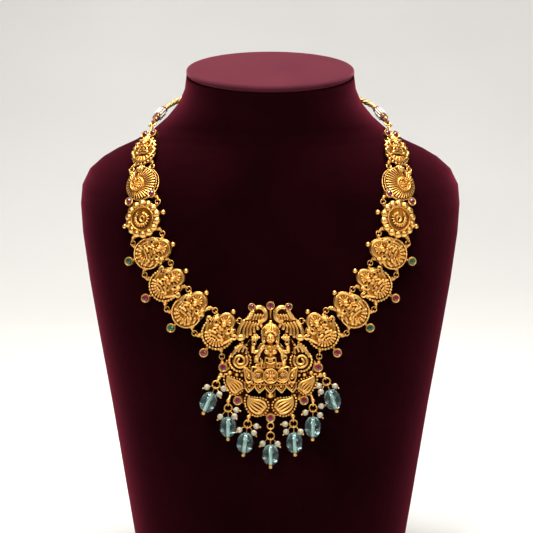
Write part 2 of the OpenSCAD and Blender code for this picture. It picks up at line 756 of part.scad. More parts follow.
module pearl_pin(p) {
    loop = pearl_loop(p);
    way = pearl_way(p);
    spoke = unit(loop - ring_middle(p[0]));
    side = unit(cross(drop_out(p[0]), spoke));
    foot = pearl_middle(p) + way * (pearl_r + pearl_ball_r + 0.08);
    multmatrix([
        [spoke.x, drop_out(p[0]).x, side.x, loop.x],
        [spoke.y, drop_out(p[0]).y, side.y, loop.y],
        [spoke.z, drop_out(p[0]).z, side.z, loop.z]
    ]) ring(pearl_loop_r, pearl_pin_r);
    rod(loop + way * pearl_loop_r, foot, pearl_pin_r);
    ball(foot, pearl_ball_r);
}
module pearls() {
    bore = pearl_pin_r + 0.1;
    pole = acos(bore / pearl_r);
    profile = [for (i = [0:14]) let (a = pole * (i / 7 - 1)) pearl_r * [cos(a), sin(a)]];
    color("ivory") seated(SEATS[PENDANT]) for (p = PEARLS)
        aimed(pearl_middle(p), pearl_middle(p) + pearl_way(p)) rotate_extrude() polygon(profile);
}

// Stones
module both_sides() {
    children();
    mirror([1, 0, 0]) children();
}
module stones(k, places) {
    seated(SEATS[k]) for (p = places) stone(p);
}
module rubies() {
    color("crimson") {
        both_sides() {
            stones(0, ARCH_CUPS);
            stones(1, SHELL_CUPS);
            for (k = [4, 6]) stones(k, [ROUND_CUP]);
        }
        stones(PENDANT, PENDANT_CUPS);
    }
}
module emeralds() {
    color("seagreen") both_sides() for (k = [3, 5]) stones(k, [OVAL_CUP]);
}
module clear_stones() {
    color("white") seated(SEATS[PENDANT]) for (p = CLEAR_STONES)
        translate([p.x, p.y, clear_z + 0.08]) {
            cylinder(h = 0.5, r = 0.54, $fn = 8);
            translate([0, 0, 0.5]) cylinder(h = 0.3, r1 = 0.54, r2 = 0.3, $fn = 8);
        }
}

// Back of the necklace: end links, bound cord ends, and the cord round the neck.
// The cord's left end, from its end link up to the side of the neck
CORD_START = [[-66.8, -0.9, 262.3], [-66, 0.9, 263.3], [-61.4, 10.6, 268.2], [-57.8, 15.6, 270.4]];
cord_gap_side = 3;
cord_gap_back = 4.2;
function round_neck(a) =
    let (z = 271.5 + 4 * sin(a) * sin(a), gap = cord_r + cord_gap_side * 0.5
        + (cord_gap_back - cord_gap_side) * pow(sin(a), 4))
    [(section(z, 1) + gap) * cos(a), (section(z, 3) + gap) * sin(a), z + 3.2 * sin(a)];
CORD = concat(
    CORD_START,
    [for (a = [155:-10:25]) round_neck(a)],
    [for (i = [len(CORD_START) - 1:-1:0]) mirrored(CORD_START[i])]
);
END_LINK = [-67.9, -5.2, 259.9];
end_link_r = 2.1;
end_wire_r = 0.5;
function top_point() = placed(SEATS[0], [-0.6, 13.6, 1.4]);
function end_run() = unit(CORD_START[0] - top_point());
function end_out() =
    let (n = [-0.3, -0.5, 0.8]) unit(n - end_run() * (n * end_run()));
module top_eyelet() {
    eye = END_LINK - end_run() * end_link_r;
    framed(eye, -end_run(), end_out()) rotate([90, 0, 0]) ring(1.25, 0.4);
    rod(eye - end_run() * 1.25, placed(SEATS[0], [-1.4, 9, 1.1]), 0.6);
}
module end_links() {
    color(GOLD) both_sides() framed(END_LINK, end_run(), end_out()) ring(end_link_r, end_wire_r);
}
function along(a, b, t) = a + (b - a) * t;
// A sleeve of thread or beads on the cord, between two shares of one of its stretches
module sleeve(i, from, to, r) {
    a = along(CORD_START[i], CORD_START[i + 1], from);
    b = along(CORD_START[i], CORD_START[i + 1], to);
    difference() {
        rod(a, b, r);
        rod(a - (b - a), b + (b - a), cord_r + 0.2);
    }
}
module thread_bindings() {
    color("maroon") both_sides() {
        sleeve(1, -0.12, 0.06, binding_r);
        sleeve(1, 0.72, 0.9, binding_r);
        // The loop that ties the cord's end to its end link
        framed(END_LINK + end_run() * end_link_r, end_run(), end_out()) rotate([90, 0, 0])
            ring(1.3, 0.45);
    }
}
module pearl_wraps() {
    color("ivory") both_sides() sleeve(1, 0.08, 0.7, wrap_r);
}
// One tube through all the points of the cord
function travel(i) =
    unit(CORD[min(i + 1, len(CORD) - 1)] - CORD[max(i - 1, 0)]);
module back_cord() {
    sides = 10;
    color(GOLD) loft([
        for (i = [0:len(CORD) - 1])
            let (t = travel(i), u = unit(cross(t, [0, 0, 1])), v = cross(u, t))
            [for (k = [0:sides - 1])
                CORD[i] + cord_r * (cos(-360 * k / sides) * u + sin(-360 * k / sides) * v)]
    ]);
}
module thread_slide() {
    top = round_neck(90);
    color("maroon") difference() {
        rod(top - [4, 0, 0], top + [4, 0, 0], 3.1);
        rod(top - [6, 0, 0], top + [6, 0, 0], cord_r + 0.6);
    }
}

bust();
neck_cap();
pendant();
left_plaque(0);  // plaque_l1
left_plaque(1);  // plaque_l2
left_plaque(2);  // plaque_l3
left_plaque(3);  // plaque_l4
left_plaque(4);  // plaque_l5
left_plaque(5);  // plaque_l6
left_plaque(6);  // plaque_l7
right_plaque(0);  // plaque_r1
right_plaque(1);  // plaque_r2
right_plaque(2);  // plaque_r3
right_plaque(3);  // plaque_r4
right_plaque(4);  // plaque_r5
right_plaque(5);  // plaque_r6
right_plaque(6);  // plaque_r7
link_rings();  // link_rings_left
mirror([1, 0, 0]) link_rings();  // link_rings_right
rubies();
emeralds();
clear_stones();
drop_ring(0);  // drop_ring_1
drop_ring(1);  // drop_ring_2
drop_ring(2);  // drop_ring_3
drop_ring(3);  // drop_ring_4
drop_ring(4);  // drop_ring_5
drop_ring(5);  // drop_ring_6
drop_ring(6);  // drop_ring_7
drop_pin(0);  // drop_pin_1
drop_pin(1);  // drop_pin_2
drop_pin(2);  // drop_pin_3
drop_pin(3);  // drop_pin_4
drop_pin(4);  // drop_pin_5
drop_pin(5);  // drop_pin_6
drop_pin(6);  // drop_pin_7
glass_bead(0);  // bead_1
glass_bead(1);  // bead_2
glass_bead(2);  // bead_3
glass_bead(3);  // bead_4
glass_bead(4);  // bead_5
glass_bead(5);  // bead_6
glass_bead(6);  // bead_7
pearls();
end_links();
thread_bindings();
pearl_wraps();
back_cord();
thread_slide();
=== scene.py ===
"""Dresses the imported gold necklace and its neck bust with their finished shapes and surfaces."""

import logging
import math
import random
from dataclasses import dataclass, field
from enum import Enum
from typing import Iterator, Optional, Sequence

import bpy
import numpy as np
from mathutils import Matrix, Vector


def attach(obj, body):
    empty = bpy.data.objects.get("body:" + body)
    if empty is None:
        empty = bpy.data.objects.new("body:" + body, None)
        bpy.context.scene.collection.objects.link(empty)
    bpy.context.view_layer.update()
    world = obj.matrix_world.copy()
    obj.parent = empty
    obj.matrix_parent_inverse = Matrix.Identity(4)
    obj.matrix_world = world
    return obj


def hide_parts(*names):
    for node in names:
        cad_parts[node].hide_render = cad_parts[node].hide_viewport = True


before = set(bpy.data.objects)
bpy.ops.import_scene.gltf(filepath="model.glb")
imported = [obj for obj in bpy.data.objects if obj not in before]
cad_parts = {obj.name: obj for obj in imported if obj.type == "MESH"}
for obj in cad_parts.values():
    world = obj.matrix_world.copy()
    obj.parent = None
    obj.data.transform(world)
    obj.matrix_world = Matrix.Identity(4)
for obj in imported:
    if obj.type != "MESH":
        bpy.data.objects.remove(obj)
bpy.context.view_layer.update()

LOG = logging.getLogger("necklace")
MM = 0.001
Point = tuple[float, float]
Colour = tuple[float, float, float]


@dataclass(frozen=True)
class Section:
    """One level section of the bust, in millimetres."""

    height: float
    half: float
    front: float
    back: float
    roundness: float


@dataclass(frozen=True)
class Form:
    """The bust's surface, worked out from its level sections."""

    sections: tuple[Section, ...] = (
        Section(0, 77.5, 86, 40, 2.8),
        Section(50, 85.5, 81.5, 41, 2.8),
        Section(100, 93.5, 76, 42, 2.7),
        Section(143, 101, 69.5, 43, 2.6),
        Section(170, 105.6, 65, 44, 2.5),
        Section(198, 109.4, 60, 45, 2.35),
        Section(214, 110.5, 56.5, 45, 2.15),
        Section(225, 109.5, 54, 45, 1.95),
        Section(234, 105, 51.5, 44.5, 1.75),
        Section(241, 97, 49.5, 44, 1.6),
        Section(246, 88.5, 48, 43.5, 1.5),
        Section(251, 77.5, 46.5, 43.5, 1.48),
        Section(257, 67.5, 45.5, 43, 1.55),
        Section(264, 59.5, 44.3, 42.5, 1.75),
        Section(272, 52.8, 43.2, 42, 1.95),
        Section(280, 49.4, 42.6, 42, 2),
        Section(287.5, 48.4, 42, 42, 2),
    )
    lean_from: float = 262
    neck_top: float = 287.5
    neck_slope: float = 11.5

    def level(self, z: float) -> Section:
        """Interpolates the section at a height.

        Args:
            z: Height in millimetres.

        Returns:
            The section there, with each size taken in a straight line between two sections.
        """
        rows = self.sections
        z = min(max(z, rows[0].height), rows[-1].height)
        for low, high in zip(rows, rows[1:]):
            if z <= high.height:
                t = (z - low.height) / (high.height - low.height)
                return Section(
                    z,
                    low.half + t * (high.half - low.half),
                    low.front + t * (high.front - low.front),
                    low.back + t * (high.back - low.back),
                    low.roundness + t * (high.roundness - low.roundness),
                )
        return rows[-1]

    def front_y(self, x: float, z: float) -> float:
        """Returns y of the front face at x and z."""
        row = self.level(z)
        share = min(1.0, abs(x) / row.half)
        return -row.front * max(0.0, 1 - share**row.roundness) ** (1 / row.roundness)

    def normal(self, x: float, z: float, step: float = 6.0) -> Vector:
        """Finds the front face's outward normal at x and z.

        Args:
            x: Place to the right.
            z: Height.
            step: Half the distance that it is read over.

        Returns:
            The unit normal.
        """
        return Vector(
            (
                (self.front_y(x + step, z) - self.front_y(x - step, z)) / (2 * step),
                -1.0,
                (self.front_y(x, z + step) - self.front_y(x, z - step)) / (2 * step),
            )
        ).normalized()

    def slope_at(self, z: float) -> float:
        """Returns how far a section leans forward, as rise over run."""
        share = (z - self.lean_from) / (self.neck_top - self.lean_from)
        return math.tan(math.radians(self.neck_slope)) * max(0.0, min(1.0, share))

    def ring(self, z: float, points: int, inset: float = 0.0, rise: float = 0.0) -> np.ndarray:
        """Returns the points round one level.

        Args:
            z: Height of the section.
            points: How many points.
            inset: How far inside the section the ring runs.
            rise: How far the ring is lifted.

        Returns:
            An array of points in millimetres.
        """
        row = self.level(z)
        power = 2 / row.roundness
        out = np.zeros((points, 3))
        for i in range(points):
            a = 2 * math.pi * i / points
            depth = row.back if math.sin(a) > 0 else row.front
            x = (row.half - inset) * math.copysign(abs(math.cos(a)) ** power, math.cos(a))
            y = (depth - inset) * math.copysign(abs(math.sin(a)) ** power, math.sin(a))
            out[i] = (x, y, z + rise + y * self.slope_at(z))
        return out


FORM = Form()


@dataclass(frozen=True)
class Seat:
    """Where a piece lies on the bust: place, turn, tilt up, roll and the radius it clears."""

    x: float
    z: float
    turn: float
    up: float
    roll: float
    reach: float
    gap: float = 0.4

    def axes(self) -> Matrix:
        """Works out the turn of the piece's own axes in the world.

        Returns:
            A turn of 3 by 3.
        """
        return (
            Matrix.Rotation(math.radians(self.turn), 3, "Z")
            @ Matrix.Rotation(math.radians(90 - self.up), 3, "X")
            @ Matrix.Rotation(math.radians(-self.roll), 3, "Z")
        )

    def place(self) -> Matrix:
        """Works out the matrix from the piece's own millimetres to the world's.

        Returns:
            A matrix of 4 by 4.
        """
        turn = self.axes()
        y = math.inf
        for step in range(12):
            a = math.radians(30 * step)
            for share in (0.0, 0.5, 1.0):
                w = turn @ Vector(
                    (share * self.reach * math.cos(a), share * self.reach * math.sin(a), 0)
                )
                y = min(y, FORM.front_y(self.x + w.x, self.z + w.z) - w.y)
        return Matrix.Translation((self.x, y - self.gap, self.z)) @ turn.to_4x4()


SEATS = (
    Seat(-69.4, 244.3, -35, 38, -12, 8.5),
    Seat(-70.4, 228.9, -28, 28, -20, 9.5),
    Seat(-69.4, 210.4, -24, 16, 68, 10.5),
    Seat(-64.3, 193.1, -20, 11, 67, 10.5),
    Seat(-56.8, 176.1, -16, 9, 54.5, 10.5),
    Seat(-43.7, 163.3, -11, 8.5, 44, 10.5),
    Seat(-28.0, 151.5, -6, 8.5, 35, 10.5),
)
PENDANT_SEAT = Seat(0, 136.6, 0, 9, 0, 30)
MIRROR = Matrix.Scale(-1, 4, (1, 0, 0))


class Half(Enum):
    """One half of the necklace, with the letter that its plaques' names carry."""

    LEFT = "l"
    RIGHT = "r"

    def turn(self) -> Matrix:
        """Returns the matrix that carries a left piece to this half."""
        return MIRROR if self is Half.RIGHT else Matrix.Identity(4)


class Nodes:
    """A short way to write a material's node tree."""

    def __init__(self, name: str) -> None:
        """Starts a material.

        Args:
            name: The material's name.
        """
        self.material = bpy.data.materials.new(name)
        self.material.use_nodes = True
        self.tree = self.material.node_tree
        self.shader = self.tree.nodes["Principled BSDF"]

    def add(self, kind: str, **settings: object) -> bpy.types.Node:
        """Adds a node.

        Args:
            kind: The node's type name.
            **settings: Values of the node's own properties.

        Returns:
            The node.
        """
        node = self.tree.nodes.new(kind)
        for key, value in settings.items():
            setattr(node, key, value)
        return node

    def link(self, out: bpy.types.NodeSocket, into: bpy.types.NodeSocket) -> None:
        """Joins two sockets."""
        self.tree.links.new(out, into)

    def constants(self, **values: object) -> None:
        """Sets the shader's own sockets, named with underscores for spaces."""
        for key, value in values.items():
            self.shader.inputs[key.replace("_", " ")].default_value = value

    def noise(self, scale: float, detail: float = 3.0) -> bpy.types.NodeSocket:
        """Adds noise on the object's coordinates.

        Args:
            scale: Cells in each metre.
            detail: Octaves of the noise.

        Returns:
            The noise's factor.
        """
        place = self.add("ShaderNodeTexCoord")
        noise = self.add("ShaderNodeTexNoise")
        noise.inputs["Scale"].default_value = scale
        noise.inputs["Detail"].default_value = detail
        self.link(place.outputs["Object"], noise.inputs["Vector"])
        return noise.outputs["Fac"]

    def ramp(
        self, factor: bpy.types.NodeSocket, stops: Sequence[tuple[float, Colour]]
    ) -> bpy.types.NodeSocket:
        """Adds a colour ramp.

        Args:
            factor: What drives it.
            stops: Place and colour of each stop.

        Returns:
            The ramp's colour.
        """
        node = self.add("ShaderNodeValToRGB")
        elements = node.color_ramp.elements
        while len(elements) < len(stops):
            elements.new(0.5)
        for element, (place, colour) in zip(elements, stops):
            element.position = place
            element.color = (*colour, 1)
        self.link(factor, node.inputs["Fac"])
        return node.outputs["Color"]

    def spread(
        self, factor: bpy.types.NodeSocket, low: float, high: float
    ) -> bpy.types.NodeSocket:
        """Maps a factor from 0 to 1 onto a range.

        Args:
            factor: The factor to read.
            low: What 0 becomes.
            high: What 1 becomes.

        Returns:
            The mapped value.
        """
        node = self.add("ShaderNodeMapRange")
        node.inputs["To Min"].default_value = low
        node.inputs["To Max"].default_value = high
        self.link(factor, node.inputs["Value"])
        return node.outputs["Result"]

    def bump(self, height: bpy.types.NodeSocket, strength: float, distance: float) -> None:
        """Feeds a height into the shader's normal.

        Args:
            height: The height to read.
            strength: How strong the bump is.
            distance: Depth of the bump in metres.
        """
        node = self.add("ShaderNodeBump")
        node.inputs["Strength"].default_value = strength
        node.inputs["Distance"].default_value = distance
        self.link(height, node.inputs["Height"])
        self.link(node.outputs["Normal"], self.shader.inputs["Normal"])


@dataclass(frozen=True)
class Gold:
    """Antique gold: brown patina with painted shade in the hollows, painted shade on walls that face
    sideways, and a painted highlight where it stands proud.
    """

    name: str = "antique_gold_cast_painted_light"
    # Colour of the hollows: brown patina, darkened further as painted shade.
    hollow_patina_and_shade: Colour = (0.05, 0.011, 0.0015)
    middle: Colour = (0.57, 0.21, 0.024)
    # Colour of proud places on the cast, lightened as a painted highlight; on plain wire, the bright end of
    # its random flecks.
    proud: Colour = (0.96, 0.56, 0.165)
    rough: tuple[float, float] = (0.48, 0.3)
    # Whether the colour follows the relief attribute, with its patina, painted shade and painted highlight.
    patina_and_painted_light: bool = True

    def build(self) -> bpy.types.Material:
        """Builds the material.

        Returns:
            The material.
        """
        n = Nodes(self.name)
        n.constants(Metallic=1.0)
        if self.patina_and_painted_light:
            # The relief attribute holds patina and painted shade in the hollows and on side walls, and a
            # painted highlight on proud places.
            shade = n.add("ShaderNodeAttribute", attribute_name="relief").outputs["Fac"]
            colour = n.ramp(
                shade,
                [(0.14, self.hollow_patina_and_shade), (0.4, self.middle), (0.68, self.proud)],
            )
            n.link(n.spread(shade, *self.rough), n.shader.inputs["Roughness"])
        else:
            fleck = n.noise(900)
            colour = n.ramp(fleck, [(0.3, self.middle), (0.6, self.proud)])
            n.link(n.spread(fleck, *self.rough), n.shader.inputs["Roughness"])
        n.link(colour, n.shader.inputs["Base Color"])
        n.bump(n.noise(2600, 4), 0.25, 0.00006)
        return n.material


@dataclass(frozen=True)
class Velvet:
    """Dark red velvet whose pile lights up where it is seen at a slant."""

    name: str
    deep: Colour
    light: Colour
    glow: Colour
    sheen: float

    def build(self) -> bpy.types.Material:
        """Builds the material.

        Returns:
            The material.
        """
        n = Nodes(self.name)
        n.constants(Roughness=1.0, Specular_IOR_Level=0.0)
        n.constants(Sheen_Weight=self.sheen, Sheen_Roughness=0.42, Sheen_Tint=(*self.glow, 1))
        broad = n.noise(22, 3)
        n.link(
            n.ramp(broad, [(0.32, self.deep), (0.7, self.light)]), n.shader.inputs["Base Color"]
        )
        n.bump(n.noise(2400, 2), 0.5, 0.0004)
        return n.material


@dataclass(frozen=True)
class Glass:
    """Tinted glass or a cut stone."""

    name: str
    tint: Colour
    pale: Colour
    clear: float
    rough: float
    bend: float = 1.5
    coat: float = 0.0
    cloud: float = 260

    def build(self) -> bpy.types.Material:
        """Builds the material.

        Returns:
            The material.
        """
        n = Nodes(self.name)
        n.constants(Transmission_Weight=self.clear, IOR=self.bend, Roughness=self.rough)
        n.constants(Coat_Weight=self.coat, Coat_Roughness=0.04)
        cloud = n.noise(self.cloud, 3)
        n.link(
            n.ramp(cloud, [(0.35, self.tint), (0.68, self.pale)]), n.shader.inputs["Base Color"]
        )
        return n.material


@dataclass(frozen=True)
class Pearl:
    """Pearl with a soft warm body and a clear skin."""

    name: str = "pearl_skin"
    body: Colour = (0.31, 0.26, 0.17)
    light: Colour = (0.6, 0.54, 0.4)

    def build(self) -> bpy.types.Material:
        """Builds the material.

        Returns:
            The material.
        """
        n = Nodes(self.name)
        n.constants(Roughness=0.28, Coat_Weight=0.8, Coat_Roughness=0.08)
        n.constants(Subsurface_Weight=0.15, Subsurface_Scale=0.001)
        n.link(
            n.ramp(n.noise(700, 2), [(0.3, self.body), (0.65, self.light)]),
            n.shader.inputs["Base Color"],
        )
        n.bump(n.noise(1500, 2), 0.15, 0.00005)
        return n.material


@dataclass(frozen=True)
class Thread:
    """Wound or twisted thread, plain or metallic."""

    name: str
    dark: Colour
    light: Colour
    metal: float
    rough: float

    def build(self) -> bpy.types.Material:
        """Builds the material.

        Returns:
            The material.
        """
        n = Nodes(self.name)
        n.constants(Metallic=self.metal, Roughness=self.rough)
        n.constants(Sheen_Weight=0.3, Sheen_Roughness=0.4)
        fibre = n.noise(3200, 2)
        n.link(n.ramp(fibre, [(0.3, self.dark), (0.7, self.light)]), n.shader.inputs["Base Color"])
        n.bump(fibre, 0.4, 0.0001)
        return n.material


@dataclass
class Finishes:
    """Every material, built once."""

    cast: bpy.types.Material = field(default_factory=Gold().build)
    wire: bpy.types.Material = field(
        default_factory=Gold(
            name="gold_wire", middle=(0.7, 0.34, 0.06), proud=(0.98, 0.6, 0.19), patina_and_painted_light=False, rough=(0.3, 0.4)
        ).build
    )
    velvet: bpy.types.Material = field(
        default_factory=Velvet(
            "velvet_body", (0.004, 0.0005, 0.001), (0.009, 0.001, 0.0018), (0.8, 0.1, 0.19), 0.36
        ).build
    )
    # Painted light: the lid wears the body's velvet, painted much lighter and given a stronger, pinker sheen
    # because the top lamp lights it.
    lid: bpy.types.Material = field(
        default_factory=Velvet(
            "velvet_lid_painted_light", (0.045, 0.009, 0.015), (0.07, 0.014, 0.022), (0.95, 0.24, 0.33), 0.62
        ).build
    )
    ruby: bpy.types.Material = field(
        default_factory=Glass(
            "ruby_stone", (0.075, 0.002, 0.016), (0.2, 0.005, 0.045), 0.0, 0.08, 1.6, 1.0
        ).build
    )
    emerald: bpy.types.Material = field(
        default_factory=Glass(
            "emerald_stone", (0.001, 0.05, 0.025), (0.006, 0.14, 0.07), 0.0, 0.08, 1.55, 1.0
        ).build
    )
    clear: bpy.types.Material = field(
        default_factory=Glass(
            "clear_stone", (0.85, 0.88, 0.9), (0.98, 0.98, 1.0), 0.6, 0.02, 1.9, 1.0
        ).build
    )
    aqua: bpy.types.Material = field(
        default_factory=Glass(
            "aqua_glass", (0.33, 0.61, 0.63), (0.52, 0.77, 0.76), 0.95, 0.02, 1.38, 0.4
        ).build
    )
    frosted: bpy.types.Material = field(
        default_factory=Glass("frosted_bore", (0.62, 0.67, 0.6), (0.8, 0.82, 0.75), 0.0, 0.5).build
    )
    pearl: bpy.types.Material = field(default_factory=Pearl().build)
    seed: bpy.types.Material = field(
        default_factory=Pearl("seed_pearl_skin", (0.62, 0.57, 0.48), (0.84, 0.8, 0.72)).build
    )
    maroon: bpy.types.Material = field(
        default_factory=Thread(
            "maroon_thread", (0.12, 0.004, 0.012), (0.32, 0.02, 0.045), 0.0, 0.6
        ).build
    )
    zari: bpy.types.Material = field(
        default_factory=Thread(
            "gold_thread", (0.42, 0.24, 0.07), (0.8, 0.55, 0.22), 0.75, 0.42
        ).build
    )


def deselect() -> None:
    """Leaves nothing selected."""
    bpy.ops.object.select_all(action="DESELECT")


def pick(obj: bpy.types.Object) -> None:
    """Selects one object alone and makes it the active one."""
    deselect()
    obj.select_set(True)
    bpy.context.view_layer.objects.active = obj


def edit_all() -> None:
    """Opens the active object with all of it selected."""
    bpy.ops.object.mode_set(mode="EDIT")
    bpy.ops.mesh.select_all(action="SELECT")


def close_outward() -> None:
    """Turns all faces of the open object outwards and closes it."""
    bpy.ops.mesh.select_all(action="SELECT")
    bpy.ops.mesh.normals_make_consistent(inside=False)
    bpy.ops.object.mode_set(mode="OBJECT")


def push(x: float, y: float, z: float) -> None:
    """Extrudes what is selected by a step."""
    bpy.ops.mesh.extrude_region_move(TRANSFORM_OT_translate={"value": (x, y, z)})


def smooth_all(obj: bpy.types.Object) -> None:
    """Shades every face smooth."""
    obj.data.polygons.foreach_set("use_smooth", [True] * len(obj.data.polygons))


def drawn(places: Sequence[Sequence[float]], fill: str = "NGON") -> bpy.types.Object:
    """Adds a circle and moves its points onto an outline.

    Args:
        places: The outline's points in order.
        fill: How the circle is filled.

    Returns:
        The flat object.
    """
    count = len(places)
    deselect()
    bpy.ops.mesh.primitive_circle_add(vertices=count, radius=1, fill_type=fill)
    obj = bpy.context.object
    for vertex in obj.data.vertices:
        vertex.co = places[turn_of(vertex.co, count)]
    return obj


def turn_of(at: Vector, count: int) -> int:
    """Returns which of a circle's points stands at a place."""
    return round(math.atan2(at.y, at.x) / (2 * math.pi) * count) % count


def polar(middle: Point, r: float, turn: float, high: float = 1.0) -> Point:
    """Returns the point of a circle, or of an oval of that height, at a turn in degrees."""
    a = math.radians(turn)
    return middle[0] + r * math.cos(a), middle[1] + high * r * math.sin(a)


def shape(obj: bpy.types.Object, kind: str, **settings: object) -> None:
    """Adds a modifier and applies it.

    Args:
        obj: The object to change.
        kind: The modifier's type.
        **settings: The modifier's values.
    """
    pick(obj)
    modifier = obj.modifiers.new(kind.title(), kind)
    for key, value in settings.items():
        setattr(modifier, key, value)
    bpy.ops.object.modifier_apply(modifier=modifier.name)


def join(parts: Sequence[bpy.types.Object], name: str) -> bpy.types.Object:
    """Joins objects into one.

    Args:
        parts: The objects; the first one stays.
        name: The new name.

    Returns:
        The joined object.
    """
    deselect()
    for part in parts:
        part.select_set(True)
    bpy.context.view_layer.objects.active = parts[0]
    if len(parts) > 1:
        bpy.ops.object.join()
    parts[0].name = name
    return parts[0]


def copied(
    template: bpy.types.Object, place: Matrix, name: str = "copy"
) -> bpy.types.Object:
    """Copies a template with its own mesh.

    Args:
        template: What to copy.
        place: Where the copy's mesh goes.
        name: The copy's name.

    Returns:
        The copy.
    """
    obj = template.copy()
    obj.data = template.data.copy()
    obj.name = name
    obj.data.transform(place)
    obj.hide_render = False
    bpy.context.scene.collection.objects.link(obj)
    return obj


def loft(name: str, rings: Sequence[np.ndarray]) -> bpy.types.Object:
    """Extrudes a circle ring by ring and moves its points onto the given rings.

    Args:
        name: The object's name.
        rings: Rings of points in millimetres, all with the same count.

    Returns:
        A closed object in metres.
    """
    count = len(rings[0])
    deselect()
    bpy.ops.mesh.primitive_circle_add(vertices=count, radius=1, fill_type="NGON")
    obj = bpy.context.object
    edit_all()
    for _ in rings[1:]:
        push(0, 0, 1)
    bpy.ops.object.mode_set(mode="OBJECT")
    for vertex in obj.data.vertices:
        vertex.co = Vector(rings[round(vertex.co.z)][turn_of(vertex.co, count)]) * MM
    edit_all()
    close_outward()
    obj.name = name
    return obj


def curved(points: Sequence[Sequence[float]], steps: int = 5, closed: bool = False) -> list[Vector]:
    """Runs a smooth line through points.

    Args:
        points: The points to pass through.
        steps: Points on each stretch.
        closed: Whether the line ends where it starts.

    Returns:
        The line's points.
    """
    base = [Vector(p) for p in points]
    count = len(base)
    if count < 3:
        return base
    out: list[Vector] = []
    last = count if closed else count - 1
    for i in range(last):
        if closed:
            a, b, c, d = (base[(i + k) % count] for k in (-1, 0, 1, 2))
        else:
            b, c = base[i], base[i + 1]
            a = base[i - 1] if i else b * 2 - c
            d = base[i + 2] if i + 2 < count else c * 2 - b
        for k in range(steps):
            t = k / steps
            out.append(
                0.5
                * (
                    2 * b
                    + (c - a) * t
                    + (2 * a - 5 * b + 4 * c - d) * t * t
                    + (3 * b - a - 3 * c + d) * t**3
                )
            )
    if not closed:
        out.append(base[-1])
    return out


def drum(
    middle: Point, r: float, low: float, high: float, oval: float, sides: int
) -> bpy.types.Object:
    """Adds an upright cylinder.

    Args:
        middle: Its middle.
        r: Its radius.
        low: Height of its foot.
        high: Height of its top.
        oval: Its half height as a share of its radius.
        sides: How many sides it has.

    Returns:
        The cylinder.
    """
    deselect()
    bpy.ops.mesh.primitive_cylinder_add(
        vertices=sides, radius=r, depth=high - low, location=(*middle, (low + high) / 2)
    )
    obj = bpy.context.object
    obj.scale = (1, oval, 1)
    bpy.ops.object.transform_apply(location=True, rotation=True, scale=True)
    return obj


@dataclass
class Line:
    """One wire of a casting."""

    points: list[Vector]
    radii: list[float]
    closed: bool


def tubes(name: str, lines: Sequence[Line], sides: int = 2) -> bpy.types.Object:
    """Makes one mesh of round wires.

    Args:
        name: The object's name.
        lines: The wires.
        sides: Bevel resolution of the wires.

    Returns:
        The mesh object.
    """
    curve = bpy.data.curves.new(name, "CURVE")
    curve.dimensions = "3D"
    curve.bevel_depth = 1.0
    curve.bevel_resolution = sides
    curve.use_fill_caps = True
    for line in lines:
        spline = curve.splines.new("POLY")
        spline.points.add(len(line.points) - 1)
        for point, at, radius in zip(spline.points, line.points, line.radii):
            point.co = (*at, 1)
            point.radius = radius
        spline.use_cyclic_u = line.closed
    obj = bpy.data.objects.new(name, curve)
    bpy.context.scene.collection.objects.link(obj)
    pick(obj)
    bpy.ops.object.convert(target="MESH")
    return bpy.context.view_layer.objects.active


def smooth(obj: bpy.types.Object, angle: float = 40) -> None:
    """Shades an object smooth, apart from its sharp edges."""
    pick(obj)
    bpy.ops.object.shade_smooth_by_angle(angle=math.radians(angle))


def finish_piece(
    obj: bpy.types.Object,
    materials: Sequence[bpy.types.Material],
    replaced: Sequence[str] = (),
) -> None:
    """Dresses a piece and tells the frame what it is.

    Args:
        obj: The piece.
        materials: Its materials.
        replaced: The nodes that it stands for.
    """
    if len(obj.data.materials) == 0 or len(materials) == 1:
        obj.data.materials.clear()
        for material in materials:
            obj.data.materials.append(material)
    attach(obj, "root")
    if replaced:
        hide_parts(*replaced)
    LOG.info("%s: %d faces", obj.name, len(obj.data.polygons))


@dataclass
class Templates:
    """Small shapes that are modelled once and copied into the castings."""

    def __post_init__(self) -> None:
        """Models the ball and the petal."""
        deselect()
        bpy.ops.mesh.primitive_ico_sphere_add(subdivisions=3, radius=1)
        self.ball = bpy.context.object
        deselect()
        bpy.ops.mesh.primitive_uv_sphere_add(
            segments=20, ring_count=14, radius=1, rotation=(0, math.radians(90), 0)
        )
        self.petal = bpy.context.object
        bpy.ops.object.transform_apply(location=False, rotation=True, scale=True)
        for vertex in self.petal.data.vertices:
            x, y, z = vertex.co
            along = 0.5 + 0.5 * x
            narrow = 1 - 0.6 * max(0.0, along - 0.45)
            vertex.co = (along, 0.5 * y * narrow, 0.5 * z * (1 - 0.3 * along))
        for obj in (self.ball, self.petal):
            obj.hide_render = True

    def clear(self) -> None:
        """Removes the templates from the scene."""
        for obj in (self.ball, self.petal):
            mesh = obj.data
            bpy.data.objects.remove(obj)
            bpy.data.meshes.remove(mesh)


